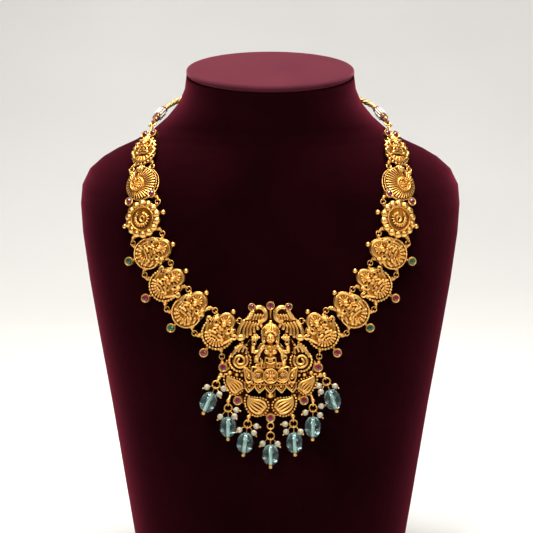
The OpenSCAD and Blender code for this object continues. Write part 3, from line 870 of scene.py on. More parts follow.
class Casting:
    """One cast gold piece, put together in its own frame in millimetres."""

    def __init__(self, name: str, kit: Templates) -> None:
        """Starts a piece.

        Args:
            name: The piece's name.
            kit: The shapes to copy.
        """
        self.name = name
        self.kit = kit
        self.parts: list[bpy.types.Object] = []
        self.lines: list[Line] = []
        self.holes: list[tuple[float, float, float, float]] = []
        self.side = 1  # -1 turns what is added to the left half

    def halves(self) -> Iterator[None]:
        """Steps through the left and the right half, and turns all that is added to it."""
        for self.side in (-1, 1):
            yield

    def grain(
        self, x: float, y: float, z: float, r: float,
        squash: Sequence[float] = (1, 1, 1), turn: float = 0,
    ) -> None:
        """Adds a round or oval grain.

        Args:
            x: Place to the right.
            y: Place up.
            z: Place out.
            r: Radius.
            squash: Share of the radius along each axis.
            turn: Turn in degrees about the way out.
        """
        place = (
            Matrix.Translation((self.side * x, y, z))
            @ Matrix.Rotation(math.radians(self.side * turn), 4, "Z")
            @ Matrix.Diagonal((r * squash[0], r * squash[1], r * squash[2], 1))
        )
        self.parts.append(copied(self.kit.ball, place))

    def row(
        self, middle: Point, r: float, span: Point, count: int, size: float, z: float,
        high: float = 1.0,
    ) -> None:
        """Adds grains along a round or oval arc.

        Args:
            middle: The arc's middle.
            r: The arc's half width.
            span: First and last angle in degrees.
            count: How many grains.
            size: Radius of a grain.
            z: Height of the grains.
            high: The arc's half height as a share of its half width.
        """
        for i in range(count):
            turn = span[0] + (span[1] - span[0]) * i / (count - 1)
            self.grain(*polar(middle, r, turn, high), z, size)

    def string(self, start: Point, step: Point, count: int, size: float, z: float) -> None:
        """Adds grains along a straight line.

        Args:
            start: Place of the first grain.
            step: From one grain to the next.
            count: How many grains.
            size: Radius of a grain.
            z: Height of the grains.
        """
        for k in range(count):
            self.grain(start[0] + step[0] * k, start[1] + step[1] * k, z, size)

    def petal(
        self, x: float, y: float, z: float, way: float, length: float, width: float,
        height: float, pitch: float = 0,
    ) -> None:
        """Adds a petal that points away from its foot.

        Args:
            x: The foot's place to the right.
            y: The foot's place up.
            z: The foot's place out.
            way: The petal's direction in degrees.
            length: Its length.
            width: Its width.
            height: Its thickness.
            pitch: How far its tip is raised, in degrees.
        """
        place = (
            Matrix.Translation((self.side * x, y, z))
            @ Matrix.Rotation(math.radians(way if self.side > 0 else 180 - way), 4, "Z")
            @ Matrix.Rotation(math.radians(-pitch), 4, "Y")
            @ Matrix.Diagonal((length, width, height, 1))
        )
        self.parts.append(copied(self.kit.petal, place))

    def wire(
        self, points: Sequence[Sequence[float]], z: float, r: float, end: Optional[float] = None,
        closed: bool = False,
    ) -> None:
        """Adds a smooth wire that lies at one height, or at each point's own.

        Args:
            points: Places of x and y, or x, y and z.
            z: Height of points that name none.
            r: Radius at the start.
            end: Radius at the end, if it differs.
            closed: Whether it is a loop.
        """
        line = curved([(self.side * p[0], *p[1:], z)[:3] for p in points], closed=closed)
        stop = r if end is None else end
        last = max(1, len(line) - 1)
        self.lines.append(Line(line, [r + (stop - r) * i / last for i in range(len(line))], closed))

    def hoop(
        self, middle: Point, r: float, z: float, thick: float, high: float = 1.0,
        span: Point = (0, 360), turn: float = 0,
    ) -> None:
        """Adds a round or oval hoop, or part of one.

        Args:
            middle: Its middle.
            r: Its half width.
            z: Its height.
            thick: Radius of its wire.
            high: Its half height as a share of its half width.
            span: First and last angle in degrees.
            turn: Turn of the oval in degrees.
        """
        closed = span[1] - span[0] >= 360
        steps = max(8, int(abs(span[1] - span[0]) / 12))
        spin = Matrix.Rotation(math.radians(turn), 2)
        line = []
        for i in range(steps + (0 if closed else 1)):
            a = span[0] + (span[1] - span[0]) * i / steps
            at = spin @ Vector(polar((0, 0), r, a, high))
            line.append(Vector((self.side * (middle[0] + at.x), middle[1] + at.y, z)))
        self.lines.append(Line(line, [thick] * len(line), closed))

    def disc(self, middle: Point, r: float, low: float, high: float, oval: float = 1.0) -> None:
        """Adds a flat disc.

        Args:
            middle: Its middle.
            r: Its radius.
            low: Height of its back.
            high: Height of its face.
            oval: Its half height as a share of its radius.
        """
        self.parts.append(drum((self.side * middle[0], middle[1]), r, low, high, oval, 40))

    def slab(self, outline: Sequence[Point], low: float, high: float) -> None:
        """Adds a flat plate with a drawn outline, which runs the same way round on both halves.

        Args:
            outline: Its corners in order.
            low: Height of its back.
            high: Height of its face.
        """
        places = [(self.side * x, y, low) for x, y in outline]
        self.parts.append(drawn(places[:: self.side]))
        edit_all()
        push(0, 0, high - low)
        close_outward()

    def pierce(self, x: float, y: float, r: float, oval: float = 1.0) -> None:
        """Notes a hole that is cut right through at the end."""
        self.holes.append((self.side * x, y, r, oval))

    def cast(self, voxel: float, most: int) -> bpy.types.Object:
        """Fuses all that was added into one skin, cuts the holes and writes the relief attribute of patina,
        painted shade and painted highlight.

        Args:
            voxel: Cell size of the fused skin.
            most: Most triangles to keep.

        Returns:
            The piece, still in its own frame in millimetres.
        """
        parts = list(self.parts)
        if self.lines:
            parts.append(tubes("lines", self.lines))
        obj = join(parts, self.name)
        obj.data.remesh_voxel_size = voxel
        bpy.ops.object.voxel_remesh()
        if self.holes:
            self._cut(obj)
        shape(obj, "SMOOTH", factor=0.5, iterations=1)
        heights = Heights(obj)
        count = sum(len(p.vertices) - 2 for p in obj.data.polygons)
        if count > most:
            shape(obj, "DECIMATE", ratio=most / count)
        shape(obj, "TRIANGULATE")
        heights.shade(obj)
        smooth_all(obj)
        return obj

    def _cut(self, obj: bpy.types.Object) -> None:
        """Cuts the noted holes through an object.

        Args:
            obj: The fused piece.
        """
        cutter = join([drum((x, y), r, -10, 14, oval, 14) for x, y, r, oval in self.holes], "holes")
        shape(obj, "BOOLEAN", operation="DIFFERENCE", object=cutter, solver="MANIFOLD")
        mesh = cutter.data
        bpy.data.objects.remove(cutter)
        bpy.data.meshes.remove(mesh)


class Heights:
    """Heights of a fused piece, read before it is thinned, to tell hollows from proud places."""

    CELL = 0.25
    NEAR = 0.55
    WIDE = 1.7
    LEVEL = 0.47
    NEAR_GAIN = 0.6
    WIDE_GAIN = 0.26
    # Share of the value kept on walls that face sideways: painted shade.
    SIDE_SHADE_SHARE = 0.55

    def __init__(self, obj: bpy.types.Object) -> None:
        """Reads the heights.

        Args:
            obj: The fused piece.
        """
        at = points_of(obj)
        self.low = at.min(axis=0)[:2] - 3
        size = np.ceil((at.max(axis=0)[:2] + 3 - self.low) / self.CELL).astype(int) + 2
        grid = np.zeros(size)
        where = self._cells(at)
        np.maximum.at(grid, where, at[:, 2])
        self.near = blurred(grid, self.NEAR / self.CELL)
        self.wide = blurred(grid, self.WIDE / self.CELL)

    def _cells(self, at: np.ndarray) -> tuple[np.ndarray, np.ndarray]:
        """Returns the grid cells that hold the points."""
        where = ((at[:, :2] - self.low) / self.CELL).astype(int)
        return where[:, 0], where[:, 1]

    def shade(self, obj: bpy.types.Object) -> None:
        """Writes the piece's relief attribute, from 0 to 1: how proud each point stands, which gives patina
        and painted shade in the hollows and a painted highlight on proud places, times a painted shade on
        walls that face sideways.

        Args:
            obj: The thinned piece.
        """
        at = points_of(obj)
        spot = self._cells(at)
        normals = np.zeros(len(at) * 3)
        obj.data.vertices.foreach_get("normal", normals)
        facing = np.clip(normals.reshape(-1, 3)[:, 2], 0, 1)
        near, wide = at[:, 2] - self.near[spot], at[:, 2] - self.wide[spot]
        # Painted shade in the hollows and painted highlight on proud places, over the patina.
        value = np.clip(self.LEVEL + self.NEAR_GAIN * near + self.WIDE_GAIN * wide, 0, 1)
        # Painted shade on walls that face sideways.
        value *= self.SIDE_SHADE_SHARE + (1 - self.SIDE_SHADE_SHARE) * facing
        layer = obj.data.attributes.new("relief", "FLOAT", "POINT")
        layer.data.foreach_set("value", value.astype(np.float32))


def points_of(obj: bpy.types.Object) -> np.ndarray:
    """Returns a mesh object's points as rows."""
    at = np.zeros(len(obj.data.vertices) * 3)
    obj.data.vertices.foreach_get("co", at)
    return at.reshape(-1, 3)


def blurred(grid: np.ndarray, sigma: float) -> np.ndarray:
    """Blurs a grid of heights.

    Args:
        grid: The heights.
        sigma: Width of the blur in cells.

    Returns:
        The blurred heights.
    """
    reach = int(sigma * 3) + 1
    kernel = np.exp(-0.5 * (np.arange(-reach, reach + 1) / sigma) ** 2)
    kernel /= kernel.sum()
    for axis in (0, 1):
        grid = np.apply_along_axis(lambda line: np.convolve(line, kernel, mode="same"), axis, grid)
    return grid


def aim(start: Vector, way: Vector) -> Matrix:
    """Returns the matrix that stands a shape's Z along a way at a place."""
    turn = Vector((0, 0, 1)).rotation_difference(way.normalized())
    return Matrix.Translation(start) @ turn.to_matrix().to_4x4()


RING_STEPS = 28


def circle(middle: Vector, across: Vector, along: Vector, r: float, thick: float) -> Line:
    """Makes a round wire in the plane of two directions.

    Args:
        middle: The wire's middle.
        across: One direction of its plane.
        along: The other direction.
        r: Its radius.
        thick: Radius of the wire itself.

    Returns:
        The closed wire.
    """
    line = [
        middle + r * (math.cos(a) * across + math.sin(a) * along)
        for a in (2 * math.pi * i / RING_STEPS for i in range(RING_STEPS))
    ]
    return Line(line, [thick] * RING_STEPS, True)


@dataclass(frozen=True)
class Joint:
    """Jump rings between one left plaque and the next: x, z and run of each ring."""

    inner: tuple[float, float, float]
    outer: Optional[tuple[float, float, float]] = None
    lift: float = 1.9
    ring: float = 1.45
    eye: float = 0.86
    wire: float = 0.28

    def sides(self) -> list[bool]:
        """Returns False for the inner ring and True for the outer one, if there is one."""
        return [False, True] if self.outer else [False]

    def middle(self, outer: bool) -> Vector:
        """Returns the middle of a ring in the world."""
        x, z, _ = self.outer if outer and self.outer else self.inner
        return Vector((x, FORM.front_y(x, z), z)) + self.lift * FORM.normal(x, z)

    def frame(self, outer: bool) -> tuple[Vector, Vector]:
        """Finds a ring's run and its way out of the velvet.

        Args:
            outer: Whether it is the outer ring.

        Returns:
            The two unit vectors.
        """
        turn = math.radians((self.outer if outer and self.outer else self.inner)[2])
        at = self.middle(outer)
        out = FORM.normal(at.x, at.z)
        down = Vector((math.sin(turn), 0, -math.cos(turn)))
        return (down - out * down.dot(out)).normalized(), out

    def eyelet(self, outer: bool, below: bool, anchor: Vector) -> list[Line]:
        """Makes a soldered eyelet and its stalk.

        Args:
            outer: Which ring it takes.
            below: Whether its piece hangs below the ring.
            anchor: The point inside the piece that holds it.

        Returns:
            The eyelet's wires in the world.
        """
        run, out = self.frame(outer)
        run = run if below else -run
        eye = self.middle(outer) + run * self.ring
        start = eye + run * self.eye
        way = (anchor - start).normalized()
        side = way.cross(out).normalized()
        across = way.cross(side)
        return [
            circle(eye, run, out, self.eye, self.wire),
            Line([start, start + way * 0.6, start + way * 1.6, anchor], [0.45, 0.8, 1.05, 1.3], False),
            circle(start + way * 0.75, side, across, 0.72, 0.36),
            circle(start + way * 1.7, side, across, 0.95, 0.42),
        ]


JOINTS = (
    Joint((-65.6, 237.6, 0), (-77.2, 235.3, 0)),
    Joint((-61.7, 219.9, 0)),
    Joint((-59.1, 203.3, 20), (-75.4, 197.2, 20)),
    Joint((-54.3, 187.7, 25), (-68.8, 180.5, 25)),
    Joint((-44.6, 173.9, 45), (-56.5, 162.6, 35)),
    Joint((-30.2, 162.9, 45), (-41.3, 150.3, 40)),
    Joint((-16.9, 157.4, 80), (-26.4, 138.1, 5)),
)


@dataclass
class Bust:
    """The velvet-covered shoulder and neck form with its separate lid."""

    points: int = 112
    between: int = 3
    cap: float = 3.4
    seam: float = 1.1

    def build(self, looks: Finishes) -> None:
        """Builds the form and the lid.

        Args:
            looks: The materials.
        """
        rings = [
            FORM.ring(0, self.points, inset=4),
            FORM.ring(0, self.points, inset=2.5),
            FORM.ring(0, self.points, inset=1.1, rise=0.6),
            FORM.ring(0, self.points, inset=0.3, rise=1.7),
        ]
        heights = [row.height for row in FORM.sections]
        rings.append(FORM.ring(0, self.points, rise=3))
        for low, high in zip(heights, heights[1:]):
            for k in range(1, self.between + 1):
                z = low + (high - low) * k / self.between
                if z > 6:
                    rings.append(FORM.ring(z, self.points))
        rings.append(FORM.ring(FORM.neck_top, self.points, inset=0.5, rise=0.4))
        rings.append(FORM.ring(FORM.neck_top, self.points, inset=1.6, rise=0.8))
        body = loft("bust_velvet", rings)
        smooth(body, 60)
        finish_piece(body, [looks.velvet], ["bust"])

        top = FORM.neck_top
        steps = (
            (1.2, 0.0), (0.5, 0.25), (0.0, 0.8), (0.0, 0.6 * self.cap), (0.25, 0.76 * self.cap),
            (0.9, 0.9 * self.cap), (1.9, 0.97 * self.cap), (3, self.cap), (8, self.cap + 0.35),
            (22, self.cap + 0.7), (36, self.cap + 0.7),
        )
        lid = loft(
            "cap_velvet",
            [FORM.ring(top, self.points, inset=inset, rise=self.seam + up) for inset, up in steps],
        )
        smooth(lid, 60)
        finish_piece(lid, [looks.lid], ["neck_cap"])


def lathe(name: str, profile: Sequence[Point], steps: int) -> bpy.types.Object:
    """Spins a closed profile round the Z axis.

    Args:
        name: The object's name.
        profile: Radius and height of its corners, in order.
        steps: Steps of the full turn.

    Returns:
        The turned object.
    """
    obj = drawn([(r, 0, z) for r, z in profile], "NOTHING")
    edit_all()
    bpy.ops.mesh.spin(steps=steps, angle=2 * math.pi, center=(0, 0, 0), axis=(0, 0, 1))
    bpy.ops.mesh.select_all(action="SELECT")
    bpy.ops.mesh.remove_doubles(threshold=0.0005)
    close_outward()
    obj.name = name
    return obj


@dataclass(frozen=True)
class Drop:
    """One drop of the pendant: its loop's place, its lean, and where the loop is held."""

    x: float
    y: float
    lean: float
    hold: Point
    middle: bool = False
    lift: float = 3.2
    rise: float = 7
    ring: float = 2.05
    reach: float = 10.3

    def down(self) -> Vector:
        """Returns the drop's way down in the pendant's frame."""
        lean, rise = math.radians(self.lean), math.radians(self.rise)
        return Vector(
            (math.sin(lean) * math.cos(rise), -math.cos(lean) * math.cos(rise), math.sin(rise))
        )

    def side(self) -> Vector:
        """Returns the drop's way to the right."""
        return Vector((math.cos(math.radians(self.lean)), math.sin(math.radians(self.lean)), 0))

    def out(self) -> Vector:
        """Returns the drop's way out."""
        return self.side().cross(-self.down())

    def loop(self) -> Vector:
        """Returns the middle of its loop."""
        return Vector((self.x, self.y, self.lift))

    def ring_middle(self) -> Vector:
        """Returns the middle of its ring."""
        extra = 2.53 + 1.58 - 0.74 if self.middle else 0
        return self.loop() + self.down() * (extra + self.ring)

    def bead_middle(self) -> Vector:
        """Returns the middle of its bead."""
        return self.ring_middle() + self.down() * self.reach

    def hanger(self) -> list[Line]:
        """Draws the soldered loop that holds the drop, as wires in the pendant's frame.

        Returns:
            The wires.
        """
        up, at = -self.down(), self.loop()
        hold = Vector((*self.hold, 1.8))
        if self.middle:
            return [
                circle(at, up, self.side(), 1.75, 0.38),
                Line([at + up * 1.75, hold], [0.6, 0.6], False),
            ]
        return [circle(at, up, self.out(), 1.0, 0.36), Line([at + up, hold], [0.7, 0.7], False)]


DROPS = (
    Drop(-28.9, -11.6, -24, (-27, -8.4)),
    Drop(-23.1, -24.2, 0, (-21.8, -19)),
    Drop(-12.2, -33, -8, (-10.6, -29.2)),
    Drop(0, -36, 0, (0, -33), middle=True),
    Drop(12.4, -32.7, 3, (10.9, -29.2)),
    Drop(23.2, -24.2, -1, (22, -19)),
    Drop(29.8, -9.8, 19, (27, -8.2)),
)
PEARLS = (
    (0, -4.9, -1.4, 0.4), (0, 4.1, -2.2, 1), (0, 1.8, -5.3, 2.4),
    (1, -4.3, -4.8, 1.2), (1, 4.5, -1.1, 0.6), (1, 3.5, -4.5, 2.5),
    (2, -4.5, -3.2, 2), (2, 4.8, -1.2, 0.4), (2, 3.4, -4.8, 1.2),
    (3, -4.3, -4.2, 0.6), (3, 3.8, -4.4, 1.1),
    (4, -4.6, -0.3, 0.4), (4, -4, -4.5, 1), (4, 3.9, -4.4, 2.4),
    (5, -4.2, -2.5, 1), (5, 4.5, 1.1, 0.4), (5, 3.8, -3.9, 1),
    (6, -4, -2.4, 1), (6, 4.7, -2.6, 0.8), (6, -3, -5.6, 1.6),
)


@dataclass
class Drops:
    """The glass beads and pearls that hang under the pendant."""

    bead: float = 4.5
    length: float = 11.2
    bore: float = 0.5
    frost: float = 0.72
    pearl: float = 1.65
    pin: float = 0.17

    def build(self, looks: Finishes) -> None:
        """Models a bead and a pearl once and hangs their copies.

        Args:
            looks: The materials.
        """
        to_world = Matrix.Scale(MM, 4) @ PENDANT_SEAT.place()
        bead = self._bead(looks)
        for i, drop in enumerate(DROPS):
            spot = to_world @ aim(drop.bead_middle(), drop.down())
            piece = copied(bead, spot, f"glass_bead_{i + 1}")
            finish_piece(piece, [looks.aqua, looks.frosted], [f"bead_{i + 1}"])
        pearl = self._pearl()
        copies = []
        for k, x, y, z in PEARLS:
            drop = DROPS[k]
            middle = drop.ring_middle() + Vector((x, y, 0)) + drop.out() * z
            spoke = Vector((x, y, 0))
            flat = (spoke - drop.out() * spoke.dot(drop.out())).normalized()
            way = middle - (drop.ring_middle() + flat * drop.ring)
            copies.append(copied(pearl, to_world @ aim(middle, way)))
        finish_piece(join(copies, "small_pearls"), [looks.pearl], ["pearls"])
        for template in (bead, pearl):
            bpy.data.objects.remove(template)

    def _bead(self, looks: Finishes) -> bpy.types.Object:
        """Models the glass bead with its frosted bore.

        Args:
            looks: The materials.

        Returns:
            The bead at the origin.
        """
        steps = 18
        half = self.length / 2
        outside = []
        for i in range(steps + 1):
            a = math.radians(-84 + 168 * i / steps)
            outside.append((self.bead * math.cos(a) ** 0.85, half * math.sin(a)))
        end = half * math.sin(math.radians(84))
        body = lathe("bead", [(self.bore, -end + 0.1), *outside, (self.bore, end - 0.1)], 40)
        smooth(body, 45)
        core = lathe(
            "bore",
            [(self.bore + 0.03, -end + 0.5), (self.frost, -end + 0.5), (self.frost, end - 0.5),
             (self.bore + 0.03, end - 0.5)],
            20,
        )
        smooth(core, 45)
        body.data.materials.append(looks.aqua)
        core.data.materials.append(looks.frosted)
        return join([body, core], "bead")

    def _pearl(self) -> bpy.types.Object:
        """Models a drilled pearl.

        Returns:
            The pearl at the origin.
        """
        bore = self.pin + 0.1
        pole = math.acos(bore / self.pearl)
        profile = [
            (self.pearl * math.cos(pole * (i / 9 - 1)), self.pearl * math.sin(pole * (i / 9 - 1)))
            for i in range(19)
        ]
        obj = lathe("pearl", profile, 28)
        smooth(obj, 50)
        return obj


@dataclass(frozen=True)
class Stone:
    """A polished cut stone: girdle, a ring of crown facets and a table."""

    r: float
    base: float
    girdle: float
    crown: float
    table: float
    sides: int = 12
    waist: float = 0.84
    rise: float = 0.55

    def build(self) -> bpy.types.Object:
        """Builds the stone at the origin in millimetres.

        Returns:
            The stone.
        """
        deselect()
        bpy.ops.mesh.primitive_circle_add(vertices=self.sides, radius=self.r, fill_type="NGON")
        obj = bpy.context.object
        edit_all()
        push(0, 0, self.girdle)
        for share, up in ((self.waist, self.rise), (self.table / self.waist, 1 - self.rise)):
            push(0, 0, self.crown * up)
            bpy.ops.transform.resize(value=(share, share, 1))
        close_outward()
        return obj


ROUND_CUP: Point = (0, -14.1)
OVAL_CUP: Point = (0, -14.8)
SHELL_CUPS: tuple[Point, ...] = ((-8.7, -9), (5.6, -8.2))
ARCH_CUPS: tuple[Point, ...] = ((-3.1, 12.5), (2.1, 12.8))
PENDANT_CUPS: tuple[tuple[float, ...], ...] = (
    (-10.2, 28.9, 0.84), (0, 29.6, 0.94), (9.9, 29, 0.84), (-26, -4.1), (26.1, -4.1),
    (-18, -22.2), (18.3, -22.1), (0, -31.7),
)
CLEAR_PLACES: tuple[Point, ...] = ((-6.6, -7.9), (6.6, -7.9))


@dataclass
class Stones:
    """Every cut stone of the necklace."""

    cup_seat: float = 2.48
    clear_seat: float = 4.38

    def build(self, looks: Finishes) -> None:
        """Sets the rubies, emeralds and clear stones.

        Args:
            looks: The materials.
        """
        cabochon = Stone(1.58, self.cup_seat, 0.75, 0.75, 0.5).build()
        small = Stone(0.54, self.clear_seat, 0.45, 0.33, 0.55, 8).build()
        red, green, clear = [], [], []
        for half in Half:
            for k, cups in ((0, ARCH_CUPS), (1, SHELL_CUPS), (4, (ROUND_CUP,)), (6, (ROUND_CUP,))):
                red += self._set(cabochon, half.turn() @ SEATS[k].place(), cups, self.cup_seat)
            for k in (3, 5):
                green += self._set(cabochon, half.turn() @ SEATS[k].place(), (OVAL_CUP,), self.cup_seat)
        pendant = PENDANT_SEAT.place()
        red += self._set(cabochon, pendant, PENDANT_CUPS, self.cup_seat)
        clear += self._set(small, pendant, CLEAR_PLACES, self.clear_seat)
        finish_piece(join(red, "ruby_stones"), [looks.ruby], ["rubies"])
        finish_piece(join(green, "emerald_stones"), [looks.emerald], ["emeralds"])
        finish_piece(join(clear, "clear_cut_stones"), [looks.clear], ["clear_stones"])
        for template in (cabochon, small):
            bpy.data.objects.remove(template)

    def _set(
        self, stone: bpy.types.Object, place: Matrix, cups: Sequence[Point], base: float
    ) -> list[bpy.types.Object]:
        """Copies a stone into each of a piece's cups.

        Args:
            stone: The stone's template.
            place: The piece's place in the world, in millimetres.
            cups: The cups' places on the piece.
            base: Height of the stones' underside.

        Returns:
            The stones.
        """
        out = []
        for x, y, *size in cups:
            wide = size[0] if size else 1
            own = Matrix.Translation((x, y, base)) @ Matrix.Diagonal((wide, wide, 1, 1))
            obj = copied(stone, Matrix.Scale(MM, 4) @ place @ own)
            if place.determinant() < 0:
                obj.data.flip_normals()
            out.append(obj)
        return out


END_LINK = Vector((-67.9, -5.2, 259.9))
END_R = 2.1
CORD_START = tuple(
    Vector(p) for p in ((-66.8, -0.9, 262.3), (-66, 0.9, 263.3), (-61.4, 10.6, 268.2), (-57.8, 15.6, 270.4))
)


def end_frame() -> tuple[Vector, Vector]:
    """Returns the run and the way out of the left end link."""
    top = SEATS[0].place() @ Vector((-0.6, 13.6, 1.4))
    run = (CORD_START[0] - top).normalized()
    out = Vector((-0.3, -0.5, 0.8)).normalized()
    return run, (out - run * out.dot(run)).normalized()


@dataclass
class BackCord:
    """The twisted cord behind the neck, with its pearl wraps, thread bindings and slide."""

    r: float = 1.6
    side_gap: float = 3
    back_gap: float = 4.2
    strands: int = 3
    pitch: float = 8.5
    wrap_r: float = 2.9
    seed: float = 0.62
    binding_r: float = 2.1
    slide_r: float = 3.1
    slide_half: float = 4
    turn_steps: int = 22

    def round_neck(self, turn: float) -> Vector:
        """Finds the cord's place beside or behind the neck, at a turn from the right.

        Args:
            turn: The turn in degrees.

        Returns:
            The point in millimetres.
        """
        a = math.radians(turn)
        z = 271.5 + 4 * math.sin(a) ** 2
        gap = self.r + self.side_gap * 0.5 + (self.back_gap - self.side_gap) * math.sin(a) ** 4
        row = FORM.level(z)
        return Vector(
            ((row.half + gap) * math.cos(a), (row.back + gap) * math.sin(a), z + 3.2 * math.sin(a))
        )

    def route(self) -> list[Vector]:
        """Returns the points of the cord's middle line, in millimetres."""
        right = [MIRROR @ p for p in reversed(CORD_START)]
        return [*CORD_START, *(self.round_neck(a) for a in range(155, 24, -10)), *right]

    def build(self, looks: Finishes) -> None:
        """Builds the cord and what is wound on it.

        Args:
            looks: The materials.
        """
        line = curved(self.route(), steps=14)
        cord = self._twist(line)
        finish_piece(cord, [looks.zari], ["back_cord"])
        self._wraps(looks)
        self._bindings(looks)
        self._slide(looks)

    def _twist(self, line: Sequence[Vector]) -> bpy.types.Object:
        """Twists strands round the cord's middle line.

        Args:
            line: The middle line in millimetres.

        Returns:
            The twisted cord in metres.
        """
        thick = self.r * 0.52
        away = self.r - thick
        gone = [0.0]
        for a, b in zip(line, line[1:]):
            gone.append(gone[-1] + (b - a).length)
        frames = []
        for i in range(len(line)):
            t = (line[min(i + 1, len(line) - 1)] - line[max(i - 1, 0)]).normalized()
            u = t.cross(Vector((0, 0, 1))).normalized()
            frames.append((u, u.cross(t)))
        lines = []
        for k in range(self.strands):
            points = []
            for at, run, (u, v) in zip(line, gone, frames):
                a = 2 * math.pi * (run / self.pitch + k / self.strands)
                points.append((at + away * (math.cos(a) * u + math.sin(a) * v)) * MM)
            lines.append(Line(points, [thick * MM] * len(points), False))
        obj = tubes("twisted_cord", lines, 3)
        smooth(obj, 60)
        return obj

    def _winding(
        self, start: Vector, stop: Vector, r: float, thread: float, step: float = 0.95
    ) -> Line:
        """Winds a thread round the line between two points.

        Args:
            start: Where the winding begins.
            stop: Where it ends.
            r: Its outer radius.
            thread: Radius of the thread.
            step: Pitch in thread diameters.

        Returns:
            The wound thread in metres.
        """
        way = (stop - start).normalized()
        u = way.cross(Vector((0, 0, 1))).normalized()
        v = way.cross(u)
        length = (stop - start).length - 2 * thread
        turns = max(1.0, length / (2 * thread * step))
        points = []
        count = int(turns * self.turn_steps)
        for i in range(count + 1):
            a = 2 * math.pi * turns * i / count
            at = start + way * (thread + length * i / count)
            points.append((at + (r - thread) * (math.cos(a) * u + math.sin(a) * v)) * MM)
        return Line(points, [thread * MM] * len(points), False)

    def _wraps(self, looks: Finishes) -> None:
        """Winds strings of seed pearls on both ends of the cord.

        Args:
            looks: The materials.
        """
        deselect()
        bpy.ops.mesh.primitive_ico_sphere_add(subdivisions=2, radius=self.seed * MM)
        seed = bpy.context.object
        a, b = CORD_START[1], CORD_START[2]
        start, stop = a.lerp(b, 0.08), a.lerp(b, 0.7)
        way = (stop - start).normalized()
        u = way.cross(Vector((0, 0, 1))).normalized()
        v = way.cross(u)
        ring = self.wrap_r - self.seed
        rows = int((stop - start).length / (1.78 * self.seed))
        around = int(2 * math.pi * ring / (2.02 * self.seed))
        copies = []
        for half in Half:
            for i in range(rows * around):
                turn = 2 * math.pi * i / around
                along = self.seed + ((stop - start).length - 2 * self.seed) * i / (rows * around - 1)
                at = start + way * along + ring * (math.cos(turn) * u + math.sin(turn) * v)
                copies.append(copied(seed, Matrix.Translation(half.turn() @ at * MM)))
        bpy.data.objects.remove(seed)
        piece = join(copies, "seed_pearl_wraps")
        smooth_all(piece)
        finish_piece(piece, [looks.seed], ["pearl_wraps"])

    def _bindings(self, looks: Finishes) -> None:
        """Winds dark red thread at both sides of each wrap and ties the end links.

        Args:
            looks: The materials.
        """
        a, b = CORD_START[1], CORD_START[2]
        lines = []
        for low, high in ((-0.12, 0.06), (0.72, 0.9)):
            lines.append(self._winding(a.lerp(b, low), a.lerp(b, high), self.binding_r, 0.2))
        run, out = end_frame()
        for k in (-0.22, 0.0, 0.22):
            eye = END_LINK + run * END_R + out.cross(run) * k
            loop = circle(eye, run, out, 1.3 + 0.1 * (k == 0), 0.27)
            lines.append(Line([p * MM for p in loop.points], [r * MM for r in loop.radii], True))
        both = [
            Line([half.turn() @ p for p in line.points], line.radii, line.closed)
            for half in Half for line in lines
        ]
        piece = tubes("bound_thread", both)
        smooth(piece, 60)
        finish_piece(piece, [looks.maroon], ["thread_bindings"])

    def _slide(self, looks: Finishes) -> None:
        """Winds the thread-covered slide behind the neck.

        Args:
            looks: The materials.
        """
        top = self.round_neck(90)
        half = Vector((self.slide_half, 0, 0))
        bore = self.r + 0.6
        end = self.slide_half
        outline = [(bore, -end), (2.8, -end), (2.85, 0.4 - end), (2.85, end - 0.4), (2.8, end), (bore, end)]
        core = lathe("slide", outline, 32)
        core.data.transform(Matrix.Scale(MM, 4) @ aim(top, half))
        smooth(core, 40)
        wound = tubes("wound", [self._winding(top - half, top + half, self.slide_r, 0.26)])
        smooth(wound, 60)
        piece = join([core, wound], "wound_slide")
        finish_piece(piece, [looks.maroon], ["thread_slide"])


HEAD_LINES = (-78, -52, -26, 0, 26, 52, 78)


